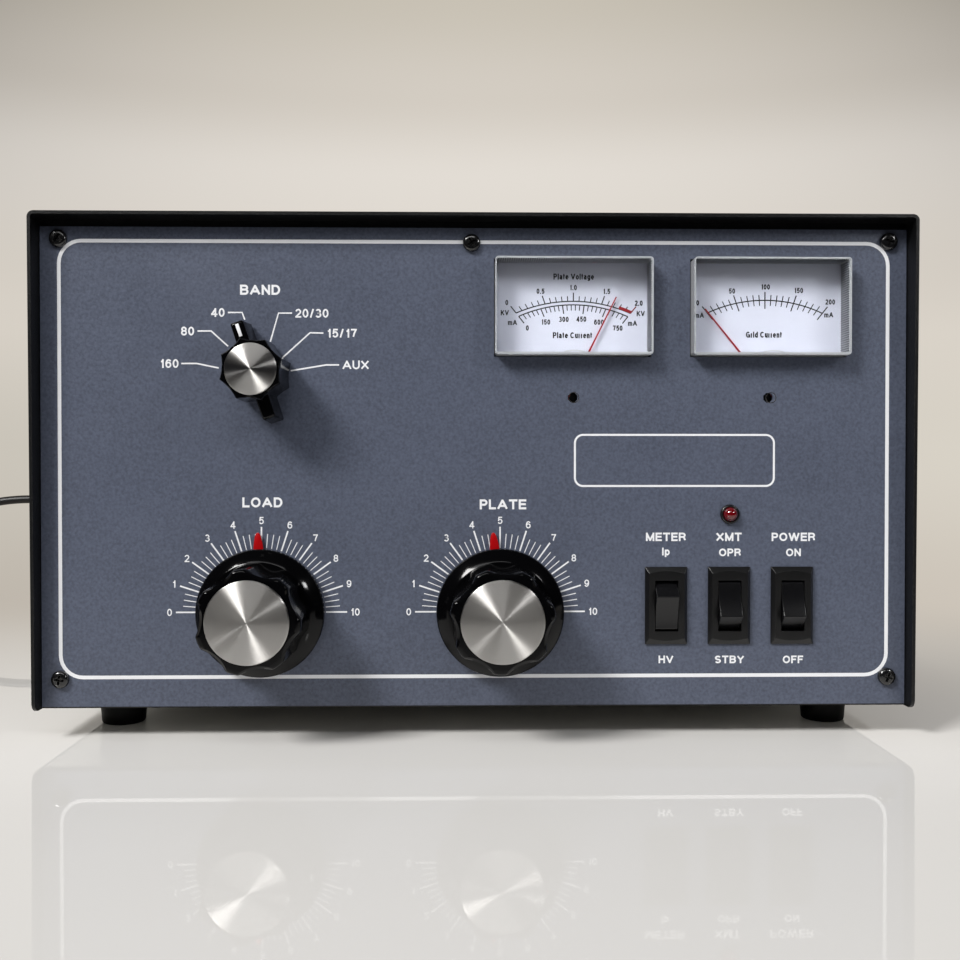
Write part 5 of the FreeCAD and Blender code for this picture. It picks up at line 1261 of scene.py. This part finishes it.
def makeSwitches():
    look = switchLook
    bodyX, bodyY, bodyZ = look["body"]
    w, h = look["bezel"][0] / 2, look["bezel"][1] / 2
    ox, oy = look["opening"][0] / 2, look["opening"][1] / 2
    rings = [frameRing(bodyX / 2, bodyY / 2, -bodyZ), frameRing(bodyX / 2, bodyY / 2, 0.0),
             frameRing(w, h, 0.0),
             frameRing(w, h, look["rim"]), bezelFaceRing(), frameRing(ox, oy, dish), frameRing(ox, oy, -0.4),
             frameRing(ox, 12.6, -0.6), frameRing(ox, 12.6, -look["cavity"])]
    shell = loft("bezel", rings)
    spade = slabBox("spade", (6.2, 0.8, 7.5), (0, 0, -23.6), round=0.2)
    one = merged([(shell, Matrix())] + [(spade, Matrix.Translation((0, y, 0))) for y in (-8, 0, 8)])
    whole = merged([(one, onPanel(x, look["z"])) for x in look["places"]])
    piece = makePiece("switchHousings", whole, "switch plastic", None, ("switch_housings",))
    ease(piece, 0.22, 30)
    for name, (x, tilt) in rockers.items():
        tipY, tipZ = 6.89, 10.25
        front = [(k / 12 * tipY, tipZ - 0.9 * (1 - (k / 12) ** 2)) for k in range(-12, 13)]
        back = [(k / 8 * 11.3, 2.6 - 5.6 * (1 - (k / 8) ** 2)) for k in range(8, -9, -1)]
        half = look["opening"][0] / 2 - 0.12
        sides = [[(px, y, z) for y, z in front + back] for px in (-half, half)]
        tilted = Matrix.Translation((0, 0, -6.3)) @ Matrix.Rotation(math.radians(tilt), 4, "X")
        paddle = makePiece(name + "Rocker", loft("paddle", sides), "rocker plastic",
                           onPanel(x, look["z"]) @ tilted, (name + "_rocker",), body=name + "_switch")
        ease(paddle, 0.32, 28, 3)


def ease(piece, width, sharpest, segments=2):      # real rounded edges, kept as plain mesh
    rounding = piece.modifiers.new("eased edges", "BEVEL")
    rounding.width, rounding.segments = width * mm, segments
    rounding.limit_method, rounding.angle_limit = "ANGLE", math.radians(sharpest)
    settled(piece)
    piece.data.shade_smooth()
    piece.data.set_sharp_from_angle(angle=math.radians(30))
    evenFlats(piece)


makeSwitches()
print("switches moulded")


# ---- meters ----
meterLook = {"centres": {"plate": 38.6, "grid": 117.3}, "z": 172.2, "pivotZ": 141.3, "window": (62.5, 38.6),
             "wall": 0.6,
             "back": -4.2, "card": 3.4}
scales = {                         # arcs and ticks about the needle pivot, words from the middle of the card
    "plate": {"shift": 0.5, "arcs": [
        {"drop": 24.0, "radius": 57.96, "first": 128.3, "step": -3.84, "count": 21, "every": 5, "long": 3.5,
         "short": 2.1, "anchor": 0.5},
        {"drop": 21.5, "radius": 54.04, "first": 128.3, "step": -3.07, "count": 26, "every": 5, "long": 3.5,
         "short": 2.3, "anchor": -0.5}],
        "words": [("Plate Voltage", 0.2, 13.0, 2.4), ("0", -26.8, 2.5, 2.15), ("0.5", -13.2, 7.1, 2.15),
                  ("1.0", 0.0, 8.6, 2.15),
                  ("1.5", 13.5, 7.1, 2.15), ("2.0", 26.5, 2.4,
                                             2.15), ("KV", -27.6, -1.6, 2.15), ("KV", 27.3, -1.8, 2.15),
                  ("mA", -24.5, -5.5, 2.15), ("mA", 24.0, -5.7,
                                              2.15), ("0", -18.5, -7.7, 2.15), ("150", -11.1, -5.3, 2.15),
                  ("300", -3.8, -4.2, 2.15), ("450", 3.3, -4.1,
                                              2.15), ("600", 10.4, -5.3, 2.15), ("750", 18.0, -7.7, 2.15),
                  ("Plate Current", -0.3, -10.6, 2.4)]},
    "grid": {"shift": -0.5, "arcs": [
        {"drop": 20.75, "radius": 55.33, "first": 128.5, "step": -3.85, "count": 21, "every": 5, "long": 6.8,
         "short": 4.4, "anchor": 0.0}],
        "words": [("0", -27.3, 2.6, 2.15), ("50", -13.4, 7.4, 2.15), ("100", 0.2, 9.1, 2.15),
                  ("150", 13.7, 7.7, 2.15),
                  ("200", 26.6, 3.1, 2.15), ("mA", -26.6, -2.4,
                                             2.15), ("mA", 26.0, -2.1,
                                                     2.15), ("Grid Current", -0.4, -10.2, 2.4)]}}


def arcReach(arc, degrees):        # distance from the pivot to the arc along one needle direction
    rise = arc["drop"] * math.sin(math.radians(degrees))
    return math.sqrt(rise * rise - arc["drop"] ** 2 + arc["radius"] ** 2) - rise


def arcPoints(arc, first, last, steps, further=0.0):
    points = []
    for i in range(steps + 1):
        degrees = first + (last - first) * i / steps
        reach = arcReach(arc, degrees) + further
        points.append((reach * math.cos(math.radians(degrees)), reach * math.sin(math.radians(degrees))))
    return points


def makeScales():
    black, red = finish["card black"], finish["card red"]
    look = meterLook
    for name, scale in scales.items():
        x = look["centres"][name] + scale["shift"]
        aboutPivot, aboutCard = onPanel(x, look["pivotZ"],
                                        lift=-look["card"]), onPanel(x, look["z"], lift=-look["card"])
        parts = []
        for arc in scale["arcs"]:
            last = arc["first"] + arc["step"] * (arc["count"] - 1)
            parts.append((printedLine(arcPoints(arc, arc["first"], last, 48), 0.48, black, thick=0.05),
                          aboutPivot))
            ticks = grown("ticks", tickTree, {
                "Count": arc["count"], "First Angle": arc["first"], "Step Angle": arc["step"],
                "Radius": arc["radius"], "Drop": arc["drop"], "Anchor": arc["anchor"], "Long": arc["long"],
                "Short": arc["short"], "Long Every": arc["every"], "Long Width": 0.46, "Short Width": 0.38,
                "Thickness": 0.05, "Paint": black})
            parts.append((ticks, aboutPivot))
        parts.append((printedWords(scale["words"], 0.2, black, 0.81, 0.05), aboutCard))
        makePiece(name + "ScalePrint", merged(parts), "card black")
    arc = scales["plate"]["arcs"][0]
    end = arc["first"] + arc["step"] * 20
    x = look["centres"]["plate"] + scales["plate"]["shift"]
    band = printedLine(arcPoints(arc, end + 8.2, end, 12, 0.55), 1.15, red, thick=0.07)
    tip = arcReach(arc, end)
    direction = (math.cos(math.radians(end)), math.sin(math.radians(end)))
    tick = printedLine([(direction[0] * (tip - 0.1), direction[1] * (tip - 0.1)),
                        (direction[0] * (tip + 3.6), direction[1] * (tip + 3.6))],
                       0.34, red, thick=0.07)
    place = onPanel(x, look["pivotZ"], lift=-look["card"])
    makePiece("plateScaleRedBand", everywhere([place], band, tick), "card red")


def roundedSlab(width, height, corner, levels, steps=6):         # (height, inset) levels of a rounded plate
    rings = []
    for z, inset in levels:
        outline = roundedOutline(width - 2 * inset, height - 2 * inset, max(corner - inset, 0.1), steps)
        rings.append([(px, py, z) for px, py in outline])
    return rings


def makeMeterWindows():            # clear face on moulded walls, with painted highlights along its edges and a ribbed lining whose darker colour is painted shade
    look = meterLook
    w, h = look["window"]
    places = [onPanel(x, look["z"]) for x in look["centres"].values()]
    face = loft("face", roundedSlab(w, h, 1.3, [(5.6, 0.0), (6.55, 0.0), (6.85, 0.12), (7.0, 0.42)]))
    makePiece("meterWindows", everywhere(places, face), "meter clear", None, ("meter_fronts",), sharp=15)
    walls = loft("walls", roundedSlab(w, h, 1.3, [(look["back"], 0.0), (5.55, 0.0), (5.55, look["wall"]),
                                                  (look["back"], look["wall"])]), loops=True)
    makePiece("meterWalls", everywhere(places, walls), "meter wall", None, ("meter_fronts",), sharp=15)
    # outline, lip and notch: painted highlights, light-coloured strips on the face for light caught in its
    # clear edges
    outline = printedLine(roundedOutline(w - 0.6, h - 0.6, 1.0), 0.26, finish["meter edge highlight"], closed=True,
                          thick=0.04)
    lipHighlight = printedLine([(-w / 2 + 0.6, -h / 2 + 0.65), (w / 2 - 0.6, -h / 2 + 0.65)], 0.6,
                      finish["meter edge highlight"], thick=0.04)
    notchHighlight = printedLine(bow(0, -h / 2 + 0.8, 4.0, 0.7, 0, 180, 12), 0.4, finish["meter edge highlight"], thick=0.04)
    surround = printedLine(roundedOutline(w - 2.2, h - 2.2, 0.4), 2.1, finish["meter card"], closed=True,
                           thick=0.04)
    sunk = Matrix.Translation((0, 0, -look["card"] - 0.08))
    makePiece("meterSurrounds", merged([(surround, place @ sunk) for place in places]), "meter card")
    raised = Matrix.Translation((0, 0, 7.0))
    edges = everywhere([place @ raised for place in places], outline, lipHighlight, notchHighlight)
    makePiece("meterEdges", edges, "meter edge highlight")
    # ribs in the darker rib colour, which is painted shade
    ribs = [((w / 2 - 0.75, -17.4 + i * 0.9, 0.9), (0, 0, 1)) for i in range(40)]
    ribs += [((-29.8 + i * 0.9, h / 2 - 0.75, 0.9), (0, 0, 1)) for i in range(67)]
    rib = link(bpy.data.objects.new("rib", slabBox("rib", (0.42, 0.42, 8.4), round=0.1)))
    ribbing = scattered(rib, ribs, {"Size": 1.0, "Turn Spread": 0.0, "Paint": finish["meter rib"]})
    makePiece("meterRibs", everywhere(places, ribbing), "meter rib")


makeScales()
makeMeterWindows()
print("meters dressed")


# ---- indicator, screws, feet and small rims ----
def makeIndicator():
    dome = [(0, -4.9), (2.78, -4.9)] + [(2.78 * math.cos(math.radians(a)),
                                         1.2 + 2.8 * math.sin(math.radians(a))) for a in range(0, 90, 9)]
    makePiece("indicatorLens", lathe("lens", dome + [(0, 4.0)], 48), "indicator red", onPanel(101.9, 89.5),
              ("led_lens",), sharp=60)
    ring = [(2.86, -5), (3.2, -5), (3.2, 0), (3.9, 0), (3.95, 0.15), (3.9, 0.8), (3.7, 1.15), (3.4, 1.35),
            (3.1, 1.38), (2.9, 1.25)]
    makePiece("indicatorRing", lathe("ring", ring, 64, loops=True), "indicator ring", onPanel(101.9, 89.5),
              ("led_ring",), sharp=50)
    rim = lathe("rim", [(1.84, -1.0), (2.0, -1.0), (2.2, 0.02), (2.15, 0.09), (1.95, 0.07), (1.84, -0.1)],
                48, loops=True)
    makePiece("adjusterRims", everywhere([onPanel(x, 136.3) for x in (39.0, 118.4)], rim), "nickel", sharp=50)


screwLook = {"head": 3.55, "height": 2.2, "shank": 1.7, "length": 7.0, "arm": 2.3, "slot": 0.58, "deep": 1.7}
frontScrews = ((-165.6, 198.9), (-1.9, 197.8), (165.6, 198.9), (-165.6, 23.9), (165.6, 23.9))
sideScrews = (25.0, 130.0, 235.0, 340.0)                         # behind the panel face
rearScrews = ((-160, 196), (0, 196), (160, 196), (-160, 22), (0, 22), (160, 22))
footPlaces = ((-150.2, 30.0), (150.2, 30.0), (-150.2, 326.0), (150.2, 326.0))


def crossOutline(arm, half, z):
    quarter = [(arm, -half), (arm, half), (half, half)]
    points = []
    for turn in range(4):
        c, s = (1, 0, -1, 0)[turn], (0, 1, 0, -1)[turn]
        points += [(c * px - s * py, s * px + c * py, z) for px, py in quarter]
    return points


def screwPart():                                                 # pan head with a cross recess, on its shank
    look = screwLook
    dome = [(look["head"] * math.cos(math.radians(a)) ** 0.5,
             0.55 + (look["height"] - 0.55) * math.sin(math.radians(a)))
            for a in range(10, 90, 10)]
    profile = [(0, -look["length"]), (look["shank"], -look["length"]), (look["shank"], 0), (look["head"], 0),
               (look["head"], 0.5)]
    head = link(bpy.data.objects.new("screwHead", lathe("screwHead", profile + dome + [(0, look["height"])],
                                                        40)))
    top = look["height"] + 0.3
    recess = loft("recess", [crossOutline(0.75, 0.2, look["height"] - look["deep"]),
                             crossOutline(look["arm"], look["slot"], top)])
    cutter = link(bpy.data.objects.new("recess", recess))
    cut = head.modifiers.new("recess", "BOOLEAN")
    cut.object, cut.operation, cut.solver = cutter, "DIFFERENCE", "EXACT"
    settled(head)
    bpy.data.objects.remove(cutter)
    return head


def makeScrewsAndFeet():
    half = 174.625
    places = [((x * mm, panelY, z * mm), (0, -1, 0)) for x, z in frontScrews]
    places += [((side * half * mm, panelY + d * mm, 19 * mm),
                (side, 0, 0)) for side in (-1, 1) for d in sideScrews]
    places += [((x * mm, panelY + d * mm, 5 * mm), (0, 0, -1)) for x, d in footPlaces]
    places += [((x * mm, rearY, z * mm), (0, 1, 0)) for x, z in rearScrews]
    screws = scattered(screwPart(), places, {"Seed": 11, "Turn Spread": 1.5, "Paint": finish["black screw"]})
    makePiece("caseScrews", screws, "black screw", None, ("case_screws",), sharp=30)
    profile = [(1.9, 5), (4.5, 5), (4.8, 4.7), (4.8, 0.5), (5.2, 0), (8.3, 0), (8.75, 0.35), (8.95, 1.0),
               (9.35, 6), (9.8, 11.5),
               (9.6, 12.0), (1.9, 12.0)]
    foot = link(bpy.data.objects.new("foot", lathe("foot", profile, 72, loops=True)))
    feet = scattered(foot, [((x * mm, panelY + d * mm, 0), (0, 0, 1)) for x, d in footPlaces],
                     {"Seed": 3, "Turn Spread": 0.0, "Paint": finish["foot rubber"]})
    makePiece("feetRubber", feet, "foot rubber", None, ("feet",), sharp=45)


makeIndicator()
makeScrewsAndFeet()
print("screws, feet and indicator fitted")


# ---- rear fittings ----
jackLook = {"coax": ((-20, 60), (18, 60)), "barrel": 7.94, "pitch": 0.9,
            "phono": ((64, 60), (84, 60), (104, 60))}
fuseLook = {"places": ((-152, 96), (-152, 126)), "grips": 18}
postLook = {"place": (146, 48), "stud": 3.175, "reach": 22.4}
fanLook = {"place": (-91, 112), "screws": 35.7, "rings": (12.1, 24.1, 35.6), "wire": 0.95, "blades": 5,
           "hub": 15.0, "low": -24.4, "high": -7.9}


def wire(start, end, radius, sides=10):            # straight round wire between two points at one height
    run = Vector(end) - Vector(start)
    across = Vector((-run.y, run.x, 0)).normalized()
    rings = []
    for place in (start, end):
        rings.append([tuple(Vector(place) + across * (radius * math.cos(2 * math.pi * i / sides))
                            + Vector((0, 0,
                                      radius * math.sin(2 * math.pi * i / sides)))) for i in range(sides)])
    return loft("wire", rings)


def hoop(radius, height, wireRadius, sides=72, around=10):
    profile = [(radius + wireRadius * math.cos(2 * math.pi * i / around),
                height + wireRadius * math.sin(2 * math.pi * i / around))
               for i in range(around)]
    return lathe("hoop", profile, sides, loops=True)


def turnedCopies(name, mesh, count, paint, first=0.0):
    part = link(bpy.data.objects.new(name, mesh))
    whole = grown(name, roundTree, {"Part": part, "Count": count, "First Turn": first, "Paint": paint})
    bpy.data.objects.remove(part)
    return whole


def makeJacks():                   # flanged coaxial sockets and phono sockets with their insulators
    barrel, z = jackLook["barrel"], 2.2
    profile = [(0, -17), (2.0, -17), (2.0, -12), (5.3, -12), (5.3, 0.2), (7.3, 0.2), (7.3, z)]
    while z < 14.2:
        profile += [(barrel, z + 0.3), (barrel, z + 0.45), (barrel - 0.55, z + 0.75)]
        z += jackLook["pitch"]
    profile += [(7.4, 15.3), (7.1, 15.6), (6.5, 15.6), (6.3, 15.3), (6.2, 8.0), (0, 8.0)]
    flange = slabBox("flange", (25.4, 25.4, 1.6), (0, 0, 0.8), round=0.35)
    contact = lathe("contact", [(1.5, 7.9), (2.3, 7.9), (2.3, 13.3), (2.0, 13.7), (1.6, 13.4)], 24,
                    loops=True)
    insulator = lathe("insulator", [(2.35, 7.9), (6.15, 7.9), (6.15, 9.8), (5.6, 10.0), (3.6, 10.0),
                                    (3.4, 12.2), (2.35, 12.4)], 40, loops=True)
    places = [onRear(x, z) for x, z in jackLook["coax"]]
    shells = everywhere(places, lathe("barrel", profile, 48), flange, contact)
    makePiece("coaxJacks", shells, "nickel", None, ("coax_jacks",), sharp=28)
    makePiece("coaxInsulators", everywhere(places, insulator), "ceramic")
    corners = [(((x + i * 9.1) * mm, rearY + 1.6 * mm, (z + k * 9.1) * mm), (0, 1, 0))
               for x, z in jackLook["coax"] for i in (-1, 1) for k in (-1, 1)]
    part = screwPart()
    part.data.transform(Matrix.Diagonal((0.72, 0.72, 0.72, 1)))
    screws = scattered(part, corners, {"Seed": 5, "Paint": finish["nickel"]})
    makePiece("flangeScrews", screws, "nickel", sharp=30)
    places = [onRear(x, z) for x, z in jackLook["phono"]]
    shell = lathe("shell", [(0, -8), (3, -8), (3, 0.2), (5.3, 0.2), (5.6, 0.5), (5.5, 1.2), (4.3, 1.4),
                            (4.15, 1.7), (4.15, 9.0), (3.95, 9.4),
                            (3.5, 9.4), (3.3, 9.1), (3.3, 2.0), (0, 2.0)], 40)
    plug = lathe("insert", [(1.65, 1.9), (3.25, 1.9), (3.25, 8.3), (3.0, 8.7), (1.9, 8.7), (1.65, 8.4)], 32,
                 loops=True)
    makePiece("phonoJacks", everywhere(places, shell), "nickel", None, ("phono_jacks",), sharp=35)
    makePiece("phonoInserts", everywhere(places, plug), "fuse plastic", sharp=35)


def makeFuseHolders():             # collar and a gripped cap with a dished top
    paint = finish["fuse plastic"]
    body = lathe("holder", [(0, -34), (6.2, -34), (6.2, 0.2), (8.3, 0.2), (8.6, 0.5), (8.5, 2.4), (7.9, 3.2),
                            (6.5, 3.3), (6.1, 3.6), (6.0, 12.8),
                            (5.6, 13.5), (5.0, 13.6), (3.8, 13.3), (0, 13.1)], 48)
    grip = slabBox("grip", (1.2, 1.0, 8.8), (6.2, 0, 8.2), round=0.3)
    grips = turnedCopies("grips", grip, fuseLook["grips"], paint)
    whole = everywhere([onRear(x, z) for x, z in fuseLook["places"]], body, grips)
    makePiece("fuseHolders", whole, "fuse plastic", None, ("fuse_holders",), sharp=35)


def makeGroundPost():              # threaded stud, washer, nut and wing nut
    stud, reach, z = postLook["stud"], postLook["reach"], 13.2
    profile = [(0, -8), (stud, -8), (stud, z)]
    while z < reach - 1.4:
        profile += [(stud - 0.32, z + 0.25), (stud, z + 0.5), (stud, z + 0.6)]
        z += 0.8
    profile += [(stud - 0.5, reach), (0, reach)]
    nut = loft("nut", [[(radius * math.cos(math.radians(60 * i + 8)),
                         radius * math.sin(math.radians(60 * i + 8)), z) for i in range(6)]
                       for radius, z in ((5.3, 1.2), (5.8, 1.6), (5.8, 5.2), (5.3, 5.6))])
    washer = lathe("washer", [(3.0, 0.05), (6.8, 0.05), (7.0, 0.25), (7.0, 1.0), (6.8, 1.2), (3.0, 1.2)], 48,
                   loops=True)
    boss = lathe("boss", [(3.0, 5.6), (5.3, 5.6), (5.4, 5.9), (5.2, 8.0), (4.6, 12.6), (4.3, 13.0),
                          (3.0, 13.0)], 40, loops=True)
    rim = [(3.0, 7.0), (7.0, 7.6), (9.6, 9.8), (12.0, 12.6), (12.4, 14.2), (12.2, 15.5), (11.0, 15.8),
           (9.6, 15.6), (6.6, 13.4), (4.0, 12.0)]
    wing = loft("wing", [[(7.6 + (x - 7.6) * grow, y, 11.4 + (z - 11.4) * grow) for x, z in rim]
                         for y, grow in ((-1.1, 0.88), (-0.75, 1.0), (0.75, 1.0), (1.1, 0.88))])
    wings = turnedCopies("wings", wing, 2, finish["nickel"])
    place = onRear(*postLook["place"], turn=24)
    whole = everywhere([place], lathe("stud", profile, 32), nut, washer, boss, wings)
    makePiece("groundPost", whole, "nickel", None, ("ground_post",), sharp=28)


def makeFanGuard():                # wire hoops on four spokes that end in eyelets under screws
    look, nickel = fanLook, finish["nickel"]
    thick, eye = look["wire"], look["screws"] * math.sqrt(2)
    spoke = merged([(wire((5.0, 0, thick + 0.05), (eye - 2.8, 0, thick + 0.05), thick), Matrix()),
                             (hoop(2.9, thick + 0.05, thick, 28), Matrix.Translation((eye, 0, 0)))])
    spokes = turnedCopies("spokes", spoke, 4, nickel, math.pi / 4)
    hoops = [hoop(radius, 2.2, thick) for radius in (5.0,) + look["rings"]]
    place = onRear(*look["place"])
    makePiece("fanGuard", everywhere([place], *hoops, spokes), "nickel", None,
              ("fan_guard",), sharp=45)
    x, z = look["place"]
    corners = [(((x + i * look["screws"]) * mm, rearY + 1.0 * mm, (z + k * look["screws"]) * mm), (0, 1, 0))
               for i in (-1, 1) for k in (-1, 1)]
    screws = scattered(screwPart(), corners, {"Seed": 9, "Paint": nickel})
    makePiece("guardScrews", screws, "nickel", sharp=30)
    rim = lathe("opening", [(35.5, -1.3), (37.4, -1.3), (37.4, 0.02), (37.0, 0.1), (35.7, 0.06),
                            (35.5, -0.1)], 96, loops=True)
    makePiece("fanOpeningRim", rim, "cover paint", place)


def makeFanRotor():                # hub with swept, twisted blades; each section lies round the shaft
    look = fanLook
    middle = (look["low"] + look["high"]) / 2
    rings = []
    for i in range(9):
        share = i / 8
        radius = 14.0 + share * 22.3
        chord, pitch, sweep = 20.0 + 6.5 * share, math.radians(44 - 15 * share), 0.16 * share * share
        section = []
        for side in (1, -1):
            for k in range(9):
                u = (k / 8 - 0.5) * side
                along, rise = chord * u * math.cos(pitch), chord * u * math.sin(pitch)
                lift = 1.8 * (1 - 4 * u * u) + side * 0.75 * math.sqrt(max(0.02, 1 - 4 * u * u))
                turn = (along - lift * math.sin(pitch)) / radius + sweep
                section.append((radius * math.cos(turn), radius * math.sin(turn),
                                middle + (rise + lift * math.cos(pitch)) * 0.9))
        rings.append(section)
    blades = turnedCopies("blades", loft("blade", rings), look["blades"], finish["fan plastic"])
    low, high, hub = look["low"], look["high"], look["hub"]
    body = lathe("hub", [(0, low), (hub - 1.2, low), (hub - 0.4, low + 0.4), (hub, low + 1.2), (hub, high),
                         (2.0, high), (2.0, high + 3.5), (0, high + 3.5)], 64)
    place = onRear(*look["place"])
    makePiece("fanRotor", everywhere([place], blades, body), "fan plastic", None, ("fan_blades",),
              body="fan_rotor", sharp=40)


makeJacks()
makeFuseHolders()
makeGroundPost()
makeFanGuard()
makeFanRotor()
print("rear fittings made")


# ---- every CAD node that stays gets its finish ----
finishNodes = {
    "panel paint": ("front_panel",),
    "chassis steel": ("chassis",),
    "cover paint": ("rear_panel",),
    "zinc steel": ("partition", "tube_deck"),
    "shaft steel": ("load_shaft", "plate_shaft", "band_shaft"),
    "vane aluminium": ("load_rotor", "plate_rotor", "capacitor_stators", "capacitor_frames", "plate_caps"),
    "brass": ("vernier_housings",),
    "ceramic": ("band_wafers", "tube_sockets", "plate_choke"),
    "meter card": ("meter_cards",),
    "meter black": ("meter_cases",),
    "needle red": ("plate_needle", "grid_needle"),
    "base bakelite": ("tube_bases",),
    "tube glass": ("tube_envelopes",),
    "anode graphite": ("tube_anodes",),
    "copper": ("tank_coils",),
    "laminate": ("radio_boards", "filter_board"),
    "core steel": ("transformer_core",),
    "winding paper": ("transformer_windings",),
    "capacitor sleeve": ("filter_capacitors",),
    "fan plastic": ("fan_frame",),
}
for paint, names in finishNodes.items():
    for name in names:
        nodes[name].data.materials.clear()
        nodes[name].data.materials.append(finish[paint])
print("finishes on the kept nodes:", sum(len(names) for names in finishNodes.values()))
